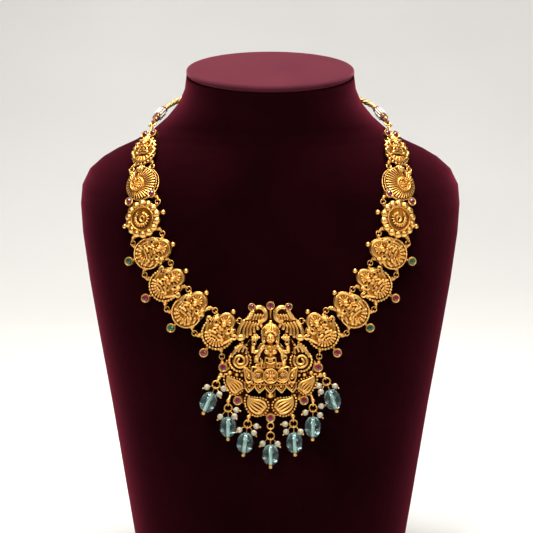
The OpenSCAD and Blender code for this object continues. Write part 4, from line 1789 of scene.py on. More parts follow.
class Relief(Casting):
    """A casting with the cups, finials and little figures that the necklace repeats."""

    def __init__(self, name: str, kit: Templates) -> None:
        """Starts a piece with no crisp parts.

        Args:
            name: The piece's name.
            kit: The shapes to copy.
        """
        super().__init__(name, kit)
        self.cups: list[tuple[float, float, float]] = []

    def cup(self, x: float, y: float, size: float = 1.0) -> None:
        """Adds a bezel cup with an empty seat for its stone."""
        self.cups.append((x, y, size))

    def finial(self, y: float) -> None:
        """Adds a ball on a short stalk."""
        step = math.copysign(1, y)
        self.wire([(0, y - 3.8 * step), (0, y - step)], 1.5, 1.1, 0.7)
        self.grain(0, y, 1.5, 1.42)

    def crisp_cups(self) -> list[bpy.types.Object]:
        """Turns one cup and copies it to each place.

        Returns:
            The cups in the piece's own frame.
        """
        if not self.cups:
            return []
        profile = [
            (0, 0), (2.2, 0), (2.2, 2.1), (2.42, 2.4), (2.5, 2.6), (2.5, 3.1), (2.4, 3.32),
            (2.2, 3.4), (1.98, 3.36), (1.76, 3.15), (1.7, 2.95), (1.7, 2.4), (0, 2.4),
        ]
        turned = lathe("cup", profile, 36)
        out = [
            copied(turned, Matrix.Translation((x, y, 0)) @ Matrix.Diagonal((size, size, 1, 1)))
            for x, y, size in self.cups
        ]
        bpy.data.objects.remove(turned)
        return out

    def small_figure(self, z: float, size: float = 1.0, x: float = 0, y: float = 0) -> None:
        """Adds a small seated figure with raised hands on a fan of petals.

        Args:
            z: Height of the ground that it sits on.
            size: Its size as a share of the plaque's own figure.
            x: How far it is moved to the right.
            y: How far it is moved up.
        """
        s = size

        def at(points: Sequence[Point], side: float = 1) -> list[Point]:
            """Returns points of the plaque from points of the figure."""
            return [(x + side * px * s, y + py * s) for px, py in points]

        def ball(px: float, py: float, pz: float, r: float, *squash: float) -> None:
            """Adds a grain at a place of the figure."""
            self.grain(x + px * s, y + py * s, z + pz * s, r * s, squash or (1, 1, 1))

        ball(0, 5.2, 0.6, 2.0, 0.86, 1.05, 0.85)
        ball(0, 4.95, 2.25, 0.38, 0.7, 1.3, 0.7)
        ball(0, 4.1, 2.1, 0.42, 1.3, 0.5, 0.6)
        for side in (-1, 1):
            ball(side * 0.75, 5.5, 2.1, 0.4, 1.2, 0.6, 0.6)
            ball(side * 2.2, 4.5, 0.5, 0.7)
        for turn in HEAD_LINES:
            a = math.radians(turn)
            foot = (1.35 * math.sin(a), 6.2 + 0.8 * math.cos(a))
            tip = (3.3 * math.sin(a), 6.0 + 3.8 * math.cos(a))
            self.wire(at([foot, tip]), z + 0.8 * s, 0.6 * s, 0.5 * s)
        crown = [(-1.8, 5.9), (-1.0, 6.9), (0, 7.2), (1.0, 6.9), (1.8, 5.9)]
        self.wire(at(crown), z + 1.2 * s, 0.38 * s)
        ball(0, 9.9, 0.3, 0.7)
        ball(0, 2.4, 0.1, 2.0, 1.1, 0.8, 0.8)
        ball(0, 0.6, 0, 1.6, 1, 1.1, 0.8)
        for side in (-1, 1):
            ball(side * 0.85, 2.5, 0.95, 0.9)
            arm = [(1.8, 3.1), (3.7, 1.9), (4.9, 2.6), (5.4, 4.4)]
            self.wire(at(arm, side), z + 0.4, 0.85 * s, 0.65 * s)
            self.wire(at([(1.6, 2.2), (3.3, 0.3), (3.7, -0.9)], side), z + 0.5, 0.7 * s)
            ball(side * 5.4, 4.9, 0.4, 1.0)
            ball(side * 6.0, 5.8, 0.3, 0.62)
            ball(side * 4.8, 5.9, 0.3, 0.62)
            legs = [(0.6, -1.2), (2.8, -1.6), (4.3, -2.7), (2.4, -3.3), (-1.2, -2.8)]
            self.wire(at(legs, side), z + 0.5, 0.88 * s, 0.66 * s)
            ball(side * 4.1, -2.5, 0.4, 1.2)
        self.wire(at([(-1.4, 3.5), (0, 1.6), (1.4, 3.5)]), z + 1.15 * s, 0.28)
        self.wire(at([(-1.6, 0.4), (0, 0), (1.6, 0.4)]), z + 0.95 * s, 0.34)

    def lotus(self, z: float, middle: Point, near: float, far: float, count: int) -> None:
        """Adds a fan of upright petals under a figure.

        Args:
            z: Height of their feet.
            middle: The fan's middle.
            near: Distance of the petals' feet.
            far: Distance of their tips.
            count: How many petals.
        """
        for i in range(count):
            a = -90 + 124 * (i / (count - 1) - 0.5)
            self.petal(*polar(middle, near, a), z, a, far - near + 0.6, 1.6, 2.2)
            self.grain(*polar(middle, far, a), z + 0.35, 0.62)


@dataclass(frozen=True)
class RoundPlaque:
    """Round plaque: a seated figure over a fan of petals, inside a rim of large grains."""

    plate: float = 2.2
    grain: float = 0.78
    rim: float = 8.45
    low: Point = (0, -1.2)

    def model(self, kit: Templates) -> Relief:
        """Puts the plaque's casting together.

        Args:
            kit: The shapes to copy.

        Returns:
            The casting before it is fused.
        """
        c = Relief("round_plaque", kit)
        lx, ly = self.low
        z = self.plate + 0.4
        c.disc(self.low, 8.6, 0, self.plate)
        c.disc((0, 7.0), 4.75, 0, self.plate, 1.06)
        for _ in c.halves():
            c.disc((7.7, 2.6), 1.6, 0, self.plate)
            c.disc((5.6, 4.8), 2.0, 0, self.plate)
        c.row(self.low, self.rim, (172, 368), 18, self.grain, self.plate + 0.4)
        c.hoop(self.low, 7.15, self.plate + 0.35, 0.34, span=(165, 375))
        c.disc(self.low, 6.9, 0, self.plate + 1.3)
        c.hoop((0, 6.8), 4.35, self.plate + 0.95, 0.5, 1.08)
        c.disc((0, 6.8), 4.2, 0, self.plate + 1.2, 1.08)
        c.small_figure(z + 0.25)
        c.lotus(z + 0.7, (lx, ly - 0.2), 3.5, 6.5, 9)
        c.row((lx, ly - 0.7), 3.6, (205, 335), 9, 0.55, z + 1.2, 2.9 / 3.6)
        for _ in c.halves():
            curl = [
                (4.6, -4.4), (6.3, -2.6), (7.2, -0.6), (8.0, 1.2), (9.3, 1.9), (9.6, 3.2), (8.6, 3.9),
                (7.8, 3.2), (8.3, 2.6),
            ]
            c.wire(curl, z + 0.45, 0.78, 0.55)
            for k in range(4):
                squash = (1.2, 0.4, 1)
                c.grain(5.7 + 0.5 * k, 5.2 - 0.8 * k, z + 0.3, 1.05, squash, 28)
            c.grain(6.3, 1.0, z + 0.2, 0.85)
            c.grain(5.6, -0.9, z + 0.2, 0.7)
        for x, y, r in ((4.2, 3.7, 0.72), (2.35, -0.2, 0.62), (1.7, -4.2, 0.55)):
            for _ in c.halves():
                c.pierce(x, y, r)
        c.finial(13.5)
        c.wire([(0, -12.4), (0, -8)], 1.3, 0.8)
        c.cup(*ROUND_CUP)
        return c


@dataclass(frozen=True)
class OvalPlaque:
    """Oval plaque: a figure in a large halo, leaves down one side and a fine rope rim."""

    plate: float = 2.2
    grain: float = 0.6
    low: Point = (0, -2.6)

    def model(self, kit: Templates) -> Relief:
        """Puts the plaque's casting together.

        Args:
            kit: The shapes to copy.

        Returns:
            The casting before it is fused.
        """
        c = Relief("oval_plaque", kit)
        z = self.plate + 0.4
        for y in (-2.6, -1, 0.6):
            c.disc((0, y), 8.25, 0, self.plate)
        c.disc((0, 6.2), 5.4, 0, self.plate)
        for y in (-2.2, 0):
            c.disc((0, y), 6.9, 0, self.plate + 1.3)
        c.disc((0, 6.2), 4.8, 0, self.plate + 1.2, 1.05)
        c.row(self.low, 8.2, (150, 372), 30, self.grain, self.plate + 0.35)
        c.hoop(self.low, 7.2, self.plate + 0.45, 0.3, span=(140, 380))
        c.hoop((0.2, 5.8), 4.75, self.plate + 1.0, 0.52, 1.06)
        c.small_figure(z + 0.25, y=-0.6)
        c.lotus(z + 0.6, (0, -2.9), 3.0, 6.3, 7)
        c.hoop((-5.2, 1.9), 1.6, z + 0.5, 0.5, 1.3, turn=35)
        for r in (6.2, 4.9):
            c.hoop((0, -1.6), r, z + 0.95, 0.55, span=(165, 232))
        for k in range(6):
            a = 30 - 20 * k
            c.petal(*polar((-1.1, 0.8), 6.3, a, 7.2 / 6.3), z + 0.1, a - 50, 4.4, 2.1, 2.6, 8)
        c.wire([(3.0, 2.8), (4.8, 1.4), (6.6, 1.9), (7.6, 3.8)], z + 0.5, 0.72, 0.5)
        c.wire([(-3.2, 3.4), (-5.4, 4.5), (-7.2, 3.2), (-7.7, 0.8), (-7.0, -1.4)], z + 0.4, 0.68, 0.5)
        for x, y, r in (
            (-5.2, 1.9, 0.85), (3.5, 2.1, 0.75), (-3.9, -3.6, 0.6), (1.7, -4.3, 0.6), (-2.5, -0.6, 0.6),
            (2.5, -0.8, 0.55),
        ):
            c.pierce(x, y, r)
        c.finial(12.7)
        c.wire([(0, -13.2), (0, -9)], 1.3, 0.8)
        c.cup(*OVAL_CUP)
        return c


@dataclass(frozen=True)
class CoilPlaque:
    """Coil plaque: a curled neck with an eye hole inside a ring, among fourteen petals."""

    plate: float = 2.2
    petals: int = 14

    def model(self, kit: Templates) -> Relief:
        """Puts the plaque's casting together.

        Args:
            kit: The shapes to copy.

        Returns:
            The casting before it is fused.
        """
        c = Relief("coil_plaque", kit)
        crown = self.plate + 1.1
        for i in range(self.petals):
            turn = 360 / self.petals * (i + 0.5)
            c.grain(*polar((0, 0), 8.5, turn), self.plate + 0.6, 2.1, (1.16, 1.04, 1), turn + 28)
        c.disc((0, 0), 10.1, 0, crown + 0.2)
        c.hoop((0, 0), 6.7, crown + 0.6, 0.64)
        c.disc((0, 0), 6.3, 0, crown + 0.7)
        spiral = [polar((0, 0), 4.1 - 0.07 * i, -150 + 20 * i) for i in range(16)]
        c.wire(spiral, crown + 0.45, 1.2, 0.8)
        c.grain(*spiral[-1], crown + 0.4, 1.0, (1.2, 0.9, 0.9), 20)
        for i in range(2, 13):
            across = ((2.8, 1.15), (3.7, 1.6), (4.8, 1.1))
            c.wire([(*polar((0, 0), r, -150 + 20 * i), crown + lift) for r, lift in across], 0, 0.26)
        c.hoop((0, 0), 1.7, crown + 0.6, 0.45, 0.8)
        c.wire([(-4.4, -1.4), (-3.2, -3.3), (-0.8, -4.4), (1.8, -4.2), (3.8, -2.6)], crown + 0.8, 0.4)
        c.pierce(0, 0, 1.0, 0.55)
        c.finial(12.3)
        c.finial(-12.3)
        return c


@dataclass(frozen=True)
class ShellPlaque:
    """Shell plaque: fine ribs round a grained medal, under a leafy knob, over beaded layers."""

    plate: float = 2.2
    medal: Point = (-2.5, -0.4)
    ribs: int = 30

    def model(self, kit: Templates) -> Relief:
        """Puts the plaque's casting together.

        Args:
            kit: The shapes to copy.

        Returns:
            The casting before it is fused.
        """
        c = Relief("shell_plaque", kit)
        mx, my = self.medal
        c.disc((-0.6, -0.2), 9.6, 0, self.plate)
        c.grain(-0.6, -0.2, self.plate - 0.2, 9.0, (1, 1, 0.19))
        c.disc((0, 7.4), 3.5, 0, self.plate + 0.4)
        c.disc(self.medal, 4.1, 0, 4.4)
        for i in range(self.ribs):
            a = math.radians(84 - 330 * i / (self.ribs - 1))
            line = []
            for share in (0.0, 0.35, 0.7, 1.0):
                x = (mx + 4.0 * math.cos(a)) * (1 - share) + (-0.6 + 8.9 * math.cos(a)) * share
                y = (my + 4.0 * math.sin(a)) * (1 - share) + (-0.2 + 8.9 * math.sin(a)) * share
                away = min(0.98, math.hypot(x + 0.6, y + 0.2) / 9.0)
                line.append((x, y, self.plate + 0.15 + 1.55 * math.sqrt(1 - away**2)))
            c.wire(line, 0, 0.3, 0.56)
        c.hoop(self.medal, 3.75, 4.4, 0.42)
        c.hoop(self.medal, 4.3, 4.0, 0.26)
        rough = random.Random(5)
        for _ in range(64):
            a, r = rough.uniform(0, 2 * math.pi), 3.2 * math.sqrt(rough.random())
            c.grain(mx + r * math.cos(a), my + r * math.sin(a), 4.4, rough.uniform(0.3, 0.46))
        c.row((-0.4, -0.2), 9.25, (-64, 58), 19, 0.46, 2.2)
        c.row((0.1, -0.3), 9.75, (-56, 50), 20, 0.42, 1.3)
        c.hoop((-0.6, -0.2), 9.5, 1.9, 0.34, span=(130, 292))
        c.row((-0.6, -0.2), 9.7, (250, 292), 8, 0.38, 1.7)
        for turn in (62, 90, 118):
            c.petal(0, 6.4, 3.1, turn, 4.2, 2.3, 2.6, 8)
        c.grain(0, 8.2, 2.8, 2.0, (1, 1, 0.8))
        c.hoop((0, 7.4), 3.2, 2.7, 0.32, span=(-10, 190))
        c.wire([(-6.4, 5.6), (-3.4, 8.6), (0, 9.6), (3.4, 8.6), (6.4, 5.6)], 2.9, 0.34)
        for x, y in SHELL_CUPS:
            c.wire([(x, y), (0.6 * x, 0.6 * y)], 1.2, 0.9)
            c.cup(x, y)
        c.pierce(3.4, 6.2, 0.45)
        return c


@dataclass(frozen=True)
class ArchPlaque:
    """Small plaque: a figure on a petalled bowl under a leafy arch, with two cups over it."""

    plate: float = 2.2

    def model(self, kit: Templates) -> Relief:
        """Puts the plaque's casting together.

        Args:
            kit: The shapes to copy.

        Returns:
            The casting before it is fused.
        """
        c = Relief("arch_plaque", kit)
        z = self.plate
        c.disc((-0.6, -0.4), 7.5, 0, z)
        c.disc((-1, 4.2), 5.8, 0, z)
        c.slab([(-2.3, 6), (1.3, 6), (1.3, 12), (-2.3, 12)], 0, z)
        c.disc((-0.8, -0.4), 6.6, 0, z + 1.4)
        c.disc((-1, 4.2), 5.2, 0, z + 1.5)
        c.row((-0.6, -0.4), 7.1, (200, 340), 9, 0.95, z)
        c.small_figure(z + 1.3, 0.84, -0.9, 1.2)
        for side in (-1, 1):
            arch = [(6.4, -1.2), (7.4, 0.8), (6.0, 2.2), (6.2, 4.4), (4.6, 6.6), (2.6, 8.0), (0.6, 10.2)]
            c.wire([(side * px - 0.9, py) for px, py in arch], z + 0.75, 0.9, 0.62)
            for k in range(4):
                a = 90 - side * (78 - 24 * k)
                foot = polar((-1, 3.4), 5.4, a, 5.0 / 5.4)
                c.petal(*foot, z + 0.4, a - side * 26, 2.7, 1.9, 2.2, 6)
        for k in range(7):
            a = -90 + 24 * (k - 3)
            c.petal(*polar((-0.8, -0.6), 1.8, a), z + 0.8, a, 4.4, 1.6, 1.8, 6)
        c.wire([(-7.2, -0.8), (-5.6, -3.8), (-0.8, -6.0), (4.2, -3.8), (5.8, -0.8)], z + 1.0, 0.62)
        c.petal(-0.8, 8.6, z + 0.5, 90, 3.6, 2.6, 2.4, 10)
        for x, y in ARCH_CUPS:
            c.cup(x, y)
        for side in (-1, 1):
            c.pierce(side * 3.0 - 0.8, 4.1, 0.6)
            c.pierce(side * 2.0 - 0.8, 1.1, 0.45)
        return c


HEAD: Point = (0, 12.3)
PAISLEY: Point = (16.6, -0.4)
SIDE_LEAF: Point = (17.9, -14.6)
BASE_LEAF: Point = (6.8, -24.9)
BALLS = ((22.2, -7.2, 1.3), (18.5, -8.2, 1.2), (15.5, -8.3, 1.15), (27.1, -8.3, 1.45))
# Outlines of the right half's two feathered paisleys, each from its tip
SIDE_RIM: tuple[Point, ...] = (
    (24.9, -7.7), (25.4, -11.2), (23.9, -15), (22.1, -17.9), (19.8, -19.1), (17, -18.2),
    (14.8, -15.7), (14.4, -13), (16, -11.1), (18.8, -10.1), (22.1, -9.1),
)
BASE_RIM: tuple[Point, ...] = (
    (13.2, -19.4), (14, -22.2), (13.7, -25.2), (12.3, -28.1), (9.6, -30.2), (6.7, -30.8),
    (3.6, -29.6), (1.5, -27.2), (1, -24.6), (2.2, -22.1), (5, -20.8), (8.2, -20.6), (11, -20.2),
)


@dataclass
class Pendant:
    """The seated figure on a lotus, between wings and paisleys, cast in one piece."""

    back: float = 1.8
    relief: float = 3.2
    seat: float = 4.2
    voxel: float = 0.2
    most: int = 176000
    feathers: int = 5
    holds: tuple[tuple[float, float, float], ...] = ((-13.2, 20.6, 1.4), (-26.2, -3.9, 1.8))
    casting: Relief = field(init=False)

    def build(self, kit: Templates, looks: Finishes) -> None:
        """Builds the pendant with its drop loops and eyelets.

        Args:
            kit: The shapes to copy.
            looks: The materials.
        """
        self.casting = c = Relief("temple_pendant", kit)
        for _ in c.halves():
            self._plates()
            self._upper_wing()
            self._lower_wing()
            self._paisley()
            self._feathered(SIDE_RIM, SIDE_LEAF)
            self._feathered(BASE_RIM, BASE_LEAF)
            for x, y, r in BALLS:
                c.grain(x, y, self.back + 0.2, r)
        self._torso()
        self._head()
        for _ in c.halves():
            self._arm()
            if c.side < 0:
                self._bud()
            else:
                self._pot()
        self._lotus()
        for x, y, *size in PENDANT_CUPS:
            c.cup(x, y, *size)
            c.disc((x, y), 2.1 * (size[0] if size else 1), 0, 2.0)
        for drop in DROPS:
            if not drop.middle:
                up = drop.loop() - drop.down() * 1.95
                c.grain(*up, 1.15)
                c.wire([tuple(up), (*drop.hold, 1.8)], 0, 0.7)
        obj = c.cast(self.voxel, self.most)
        world = PENDANT_SEAT.place()
        wires = [line for drop in DROPS for line in drop.hanger()]
        inside = world.inverted()
        for half in Half:
            for outer in JOINTS[-1].sides():
                hold = world @ Vector(self.holds[1 if outer else 0])
                for line in JOINTS[-1].eyelet(outer, True, hold):
                    points = [inside @ (half.turn() @ p) for p in line.points]
                    wires.append(Line(points, line.radii, line.closed))
        piece = crisp(obj, c, wires)
        piece.data.transform(Matrix.Scale(MM, 4) @ world)
        finish_piece(piece, [looks.cast], ["pendant"])

    def _plates(self) -> None:
        """Adds one half of the back plate."""
        c = self.casting
        c.disc(PAISLEY, 5.6, 0, self.back - 0.3)
        for outline in (
            [(25.6, -7), (12, -6), (10, -13), (22, -14)],
            [(19, -18), (12, -16), (11, -21), (13, -24), (19.6, -23), (19, -20)],
            [(28, -8.3), (26.4, -9.2), (22, -9), (20, -2), (24, 0), (26, -5)],
            [(13.8, 20), (13.6, 22.4), (10, 24.4), (8, 20)],
            [(11, 27), (12, 30), (9, 30.6), (7, 28)],
            [(10.6, 3), (7.4, 14.6), (9.4, 15.4), (13.4, 8)],
            [(12, -5), (12, 4), (6, 6), (6, -5)],
            [(0, 3), (4.7, 3), (4.7, 21), (0, 21)],
            [(0, 20), (2.2, 20), (2.2, 29), (0, 29)],
            [(0, -22), (2.6, -22), (2.6, -12), (0, -12)],
            [(0, -30.6), (4, -30.6), (4, -21.6), (0, -21.6)],
        ):
            c.slab(outline, 0, self.back)
        c.slab([(0, 9), (5.4, 9), (9.6, 4), (8.8, -4), (0, -4)], 0.7, self.seat - 1.2)
        c.slab([(0, -3.9), (13.7, -3.9), (12, -13), (0, -13)], 0.7, self.seat - 0.5)

    def _upper_wing(self) -> None:
        """Adds the upper wing: a smooth round neck with slanted feathers beside it."""
        c, z = self.casting, self.relief
        c.disc((6.8, 24.9), 4.2, 0.7, z - 0.2)
        outline = [(4, 20.6), (14.6, 21.2), (9.4, 28.8), (5, 28.4)]
        c.slab(outline, 0.7, z - 0.2)
        neck = [(8.0, 28.4), (6.0, 28.8), (3.9, 27.9), (2.7, 25.8), (2.8, 23.2), (4.3, 21.4), (6.8, 20.7)]
        c.wire(neck, z + 0.1, 1.2, 1.4)
        c.wire([(0, 27.6), (0, 22.4)], z - 0.9, 0.75, 0.55)
        for k in range(4):
            x = 9.4 - 1.5 * k
            c.wire([(x, 21.9), (x - 0.3, 23.6), (x - 1.3, 25.0)], z + 0.5, 0.72, 0.6)
        for k in range(4):
            start, stop = (13.6 - 0.8 * k, 22.0 + 1.25 * k), (10.3 - 0.5 * k, 23.2 + 1.15 * k)
            c.wire([start, stop], z + 0.2, 0.5, 0.62)

    def _lower_wing(self) -> None:
        """Adds the lower wing: a fan of round feathers that ends in a bulb."""
        c, z = self.casting, self.relief
        outline = [(6, 17.4), (12, 13.6), (14.6, 10.9), (18, 11), (18.2, 15.5), (13.8, 22), (4, 20.8)]
        c.slab(outline, 0.7, z - 0.2)
        tops = ((4.6, 20.0), (6.0, 20.0), (7.5, 20.2), (9.1, 20.5), (10.8, 20.8), (12.5, 21.1), (14.0, 21.2))
        feet = ((4.9, 18.5), (6.9, 17.2), (8.9, 15.7), (10.9, 14.2), (12.8, 12.9), (14.8, 12.0), (17.5, 12.6))
        for top, foot in zip(tops, feet):
            bend = (top[0] * 0.5 + foot[0] * 0.5 + 0.85, top[1] * 0.5 + foot[1] * 0.5 + 0.3)
            c.wire([top, bend, foot], z + 0.6, 0.66, 0.95)
            c.grain(*foot, z + 0.5, 0.98)
        rim = [(3.9, 20.9), (8.6, 21.2), (13.8, 22.0), (16.6, 18.8), (18.2, 14.4)]
        c.wire(rim, z - 0.1, 0.5, 0.62)
        c.grain(16.2, 12.3, z - 0.1, 2.15, (1.05, 0.95, 0.95))
        c.wire([(14.2, 13.8), (15.0, 11.4), (17.0, 11.0), (18.2, 12.6)], z + 1.1, 0.42)
        c.string((3.4, 19.4), (1.3, -0.8), 3, 0.75, z - 0.5)

    def _paisley(self) -> None:
        """Adds the spiral paisley with its grained rim."""
        c, z = self.casting, self.relief
        c.row(PAISLEY, 5.85, (52, -198), 17, 0.76, self.back + 0.9)
        c.string((13.1, 8.2), (-0.42, -2.0), 6, 0.76, self.back + 0.7)
        c.string((19.2, 6.5), (-1.3, 1.05), 4, 0.74, self.back + 0.9)
        c.disc(PAISLEY, 4.4, 0.7, z - 0.3)
        body = [(20.4, 0.4), (19.2, 4.0), (16.4, 7.0), (14.3, 8.9), (13.4, 5.2), (12.8, 1.8)]
        c.slab(body, 0.7, z - 0.3)
        curl = [
            (*polar(PAISLEY, 4.15 - 0.092 * i, 140 + 20 * i), z + 0.2 + 0.03 * i) for i in range(34)
        ]
        c.wire(curl, 0, 0.78, 0.62)
        for k in range(5):
            foot = polar(PAISLEY, 4.9, 22 + 27 * k)
            tip = (14.9 - 0.25 * k, 8.7 - 0.35 * k)
            bend = (0.5 * (tip[0] + foot[0]) + 1.3 - 0.5 * k, 0.5 * (tip[1] + foot[1]) + 0.5)
            c.wire([tip, bend, foot], z + 0.25, 0.5, 0.72)

    def _feathered(self, rim: Sequence[Point], middle: Point) -> None:
        """Adds a paisley of long feathers with a fine grained rim.

        Args:
            rim: The right one's outline, from its tip.
            middle: Its middle.
        """
        c, z = self.casting, self.relief
        line = [(p.x, p.y) for p in curved([(x, y, 0) for x, y in rim], 12, True)]
        gone, spots = 0.0, [line[0]]
        for a, b in zip(line, line[1:]):
            gone += math.dist(a, b)
            if gone >= 1.42:
                spots.append(b)
                gone = 0.0
        for spot in spots:
            c.grain(*spot, self.back + 0.85, 0.63)
        outer = line[::8]
        inner = [
            (middle[0] + 0.8 * (px - middle[0]), middle[1] + 0.8 * (py - middle[1])) for px, py in outer
        ]
        c.slab(inner[::-1], 0.7, z)
        c.slab(outer[::-1], 0, self.back - 0.2)
        c.wire(inner[::2], z - 0.45, 0.36, closed=True)
        whole = np.array(middle) + 0.8 * (np.array(line) - middle)
        end = int(np.argmax(np.linalg.norm(whole - whole[0], axis=1)))
        near = whole[np.linspace(0, end, 8).astype(int)]
        far = whole[np.linspace(len(whole), end, 8).astype(int) % len(whole)]
        for k in range(self.feathers):
            share = (k + 0.4) / (self.feathers - 0.2)
            feather = near + (far - near) * share
            c.wire(feather[:-1].tolist(), z + 0.35, 0.56, 0.74)

    def _torso(self) -> None:
        """Adds the body, its necklaces, the pleats and the folded legs."""
        c, z = self.casting, self.seat
        c.grain(0, 6.3, z - 0.2, 3.7, (1.18, 0.74, 0.62))
        c.grain(0, 4.4, z, 3.1, (1.0, 0.9, 0.6))
        c.grain(0, 1.4, z - 0.3, 2.5, (1.0, 1.1, 0.7))
        c.grain(0, -2.4, z - 0.5, 3.4, (1.2, 0.72, 0.55))
        c.grain(0, 8.6, z + 0.4, 1.5, (1, 1.2, 0.9))
        for _ in c.halves():
            c.grain(2.0, 4.6, z + 1.0, 1.6, (1, 0.95, 0.85))
            c.grain(4.1, 6.9, z, 1.7)
            c.wire([(1.5, 8.2), (3.4, 7.9), (5.2, 6.6)], z + 0.8, 0.5)
            c.wire([(2.6, 1.8), (2.9, -0.6), (3.6, -2.4)], z + 0.5, 0.55)
        c.wire([(-2.2, 8.3), (-1.4, 6.9), (0, 6.2), (1.4, 6.9), (2.2, 8.3)], z + 1.5, 0.36)
        c.wire([(-3.2, 8.0), (-1.9, 5.4), (0, 3.4), (1.9, 5.4), (3.2, 8.0)], z + 1.75, 0.34)
        c.grain(0, 5.7, z + 2.0, 0.55)
        c.grain(0, 3.0, z + 2.0, 0.7, (0.9, 1.3, 0.8))
        for y in (1.2, -1.4):
            c.wire([(-2.6, y + 0.35), (0, y - 0.35), (2.6, y + 0.35)], z + 1.45, 0.4)
        for k in range(-2, 3):
            c.wire([(0.55 * k, 0.9), (0.6 * k, -1.0)], z + 1.3, 0.3)
            c.wire([(0.7 * k, -1.6), (0.95 * k, -4.0)], z + 1.0, 0.36, 0.45)
        for _ in c.halves():
            leg = ((1.8, -2.2), (4.8, -1.9), (7.4, -2.6), (7.6, -3.6), (4.8, -4.1), (1.2, -4.0))
            c.wire(leg, z - 0.1, 1.0, 0.8)
            for k in range(3):
                x = 3.2 + 1.5 * k
                c.wire([(x, -1.2), (x + 0.4, -2.6), (x, -4.0)], z + 0.75, 0.28)

    def _head(self) -> None:
        """Adds the calm, plain face with its tall headdress, earrings and tresses."""
        c = self.casting
        x, y = HEAD
        z = self.seat
        c.grain(x, y + 2.9, z - 0.3, 4.6, (1.02, 1.0, 0.72))
        c.grain(x, y, z + 1.3, 3.0, (0.92, 1.12, 0.95))
        c.grain(x, y - 2.0, z + 1.9, 1.4, (1.15, 0.85, 0.9))
        c.wire([(x, y + 0.9, z + 3.9), (x, y + 0.1, z + 4.4), (x, y - 0.6, z + 4.7)], 0, 0.32, 0.48)
        c.grain(x, y - 0.75, z + 4.3, 0.55, (1.3, 0.8, 0.8))
        c.grain(x, y - 1.75, z + 3.75, 0.55, (1.7, 0.42, 0.8))
        c.grain(x, y - 2.3, z + 3.5, 0.5, (1.3, 0.5, 0.8))
        for _ in c.halves():
            c.grain(x + 1.12, y + 0.3, z + 3.6, 0.52, (1.35, 0.62, 0.75))
            brow = ((0.4, 1.1, 4.0), (1.15, 1.45, 3.85), (2.0, 1.0, 3.3))
            c.wire([(x + a, y + b, z + d) for a, b, d in brow], 0, 0.26)
            c.grain(x + 1.5, y - 1.0, z + 2.95, 0.85, (1, 1, 0.75))
            c.grain(x + 3.05, y - 0.2, z + 1.5, 0.65, (0.7, 1.4, 1))
            c.grain(x + 3.3, y - 2.0, z + 1.3, 0.85)
            tress = ((4.0, 1.6), (4.3, -1.0), (3.9, -3.2), (4.5, -4.8))
            c.wire([(x + a, y + b) for a, b in tress], z + 0.6, 0.72, 0.6)
            for k in range(5):
                c.hoop((x + 4.2 - 0.1 * k, y + 1.2 - 1.3 * k), 0.5, z + 1.15, 0.2)
        for k in range(-3, 4):
            across, out = math.sin(math.radians(22 * k)), math.cos(math.radians(22 * k))
            line = []
            for down in (16, 32, 48, 64):
                high, wide = math.cos(math.radians(down)), math.sin(math.radians(down))
                line.append((x + 4.7 * wide * across, y + 2.9 + 4.6 * high, z - 0.25 + 3.3 * wide * out))
            c.wire(line, 0, 0.3, 0.4)
        band = ((-2.9, 0.9), (-2.2, 2.3), (-1.1, 3.1), (0, 3.3), (1.1, 3.1), (2.2, 2.3), (2.9, 0.9))
        c.wire([(x + a, y + b, z + 3.15) for a, b in band], 0, 0.42)
        c.wire([(x + a * 1.22, y + 0.3 + b * 1.16, z + 2.6) for a, b in band], 0, 0.36)
        for a, b in band[1:-1]:
            c.grain(x + a * 1.1, y + 0.2 + b * 1.05, z + 3.2, 0.4)
        c.row((x, y + 2.7), 4.85, (-22, 202), 15, 0.5, z - 0.1, 4.65 / 4.85)
        c.grain(x, y + 7.3, z - 0.3, 1.6, (1.15, 0.75, 0.8))
        c.grain(x, y + 8.5, z - 0.3, 1.0, (1, 1.1, 0.9))

    def _arm(self) -> None:
        """Adds the raised arm with its flower and the lower arm with its bracelets."""
        c, z = self.casting, self.seat
        c.wire([(4.4, 7.0), (6.8, 4.8), (9.2, 4.4)], z + 0.1, 1.35, 1.1)
        c.wire([(9.4, 4.0), (9.7, 6.6), (9.1, 9.2)], z + 0.1, 1.15, 0.85)
        c.hoop((9.0, 9.6), 0.95, z + 0.5, 0.42, 1.35)
        c.pierce(9.0, 9.6, 0.3)
        for y in (5.4, 6.2, 7.0):
            c.grain(9.4, y, z + 0.2, 1.12, (1.12, 0.3, 1))
        c.disc((8.3, 12.4), 1.9, 0.7, z - 0.3)
        for k in range(5):
            a = 70 + (k - 2) * 46
            c.petal(8.1, 11.8, z + 0.1, a, 2.1, 1.15, 1.2, 12)
            c.grain(*polar((8.1, 11.8), 2.0, a, 0.875), z + 0.3, 0.62)
        c.grain(8.1, 11.8, z + 0.7, 0.75)
        c.wire([(4.6, 6.4), (6.4, 3.8), (7.2, 1.6)], z + 0.7, 1.15, 0.9)
        for k in range(3):
            c.grain(6.1 + 0.3 * k, 2.5 - 0.5 * k, z + 0.7, 1.0, (1.1, 0.32, 1), -35)

    def _bud(self) -> None:
        """Adds the open hand and its bud."""
        c, z = self.casting, self.seat
        c.grain(7.6, 0.9, z + 0.5, 1.4, (0.95, 1.1, 0.6))
        for k in range(4):
            x = 8.6 - 0.62 * k
            c.wire([(x, 1.2), (x + 0.05, -0.3), (x - 0.1, -1.2)], z + 1.0, 0.32, 0.26)
        c.wire([(5.6, 1.4), (5.0, 0.2), (5.1, -0.4)], z + 0.9, 0.4, 0.34)
        c.petal(4.9, 0.6, z + 0.6, -94, 3.2, 1.9, 1.5)
        c.grain(4.8, -2.6, z + 0.6, 0.6)
        c.hoop((7.5, 1.6), 0.85, z + 1.2, 0.3)

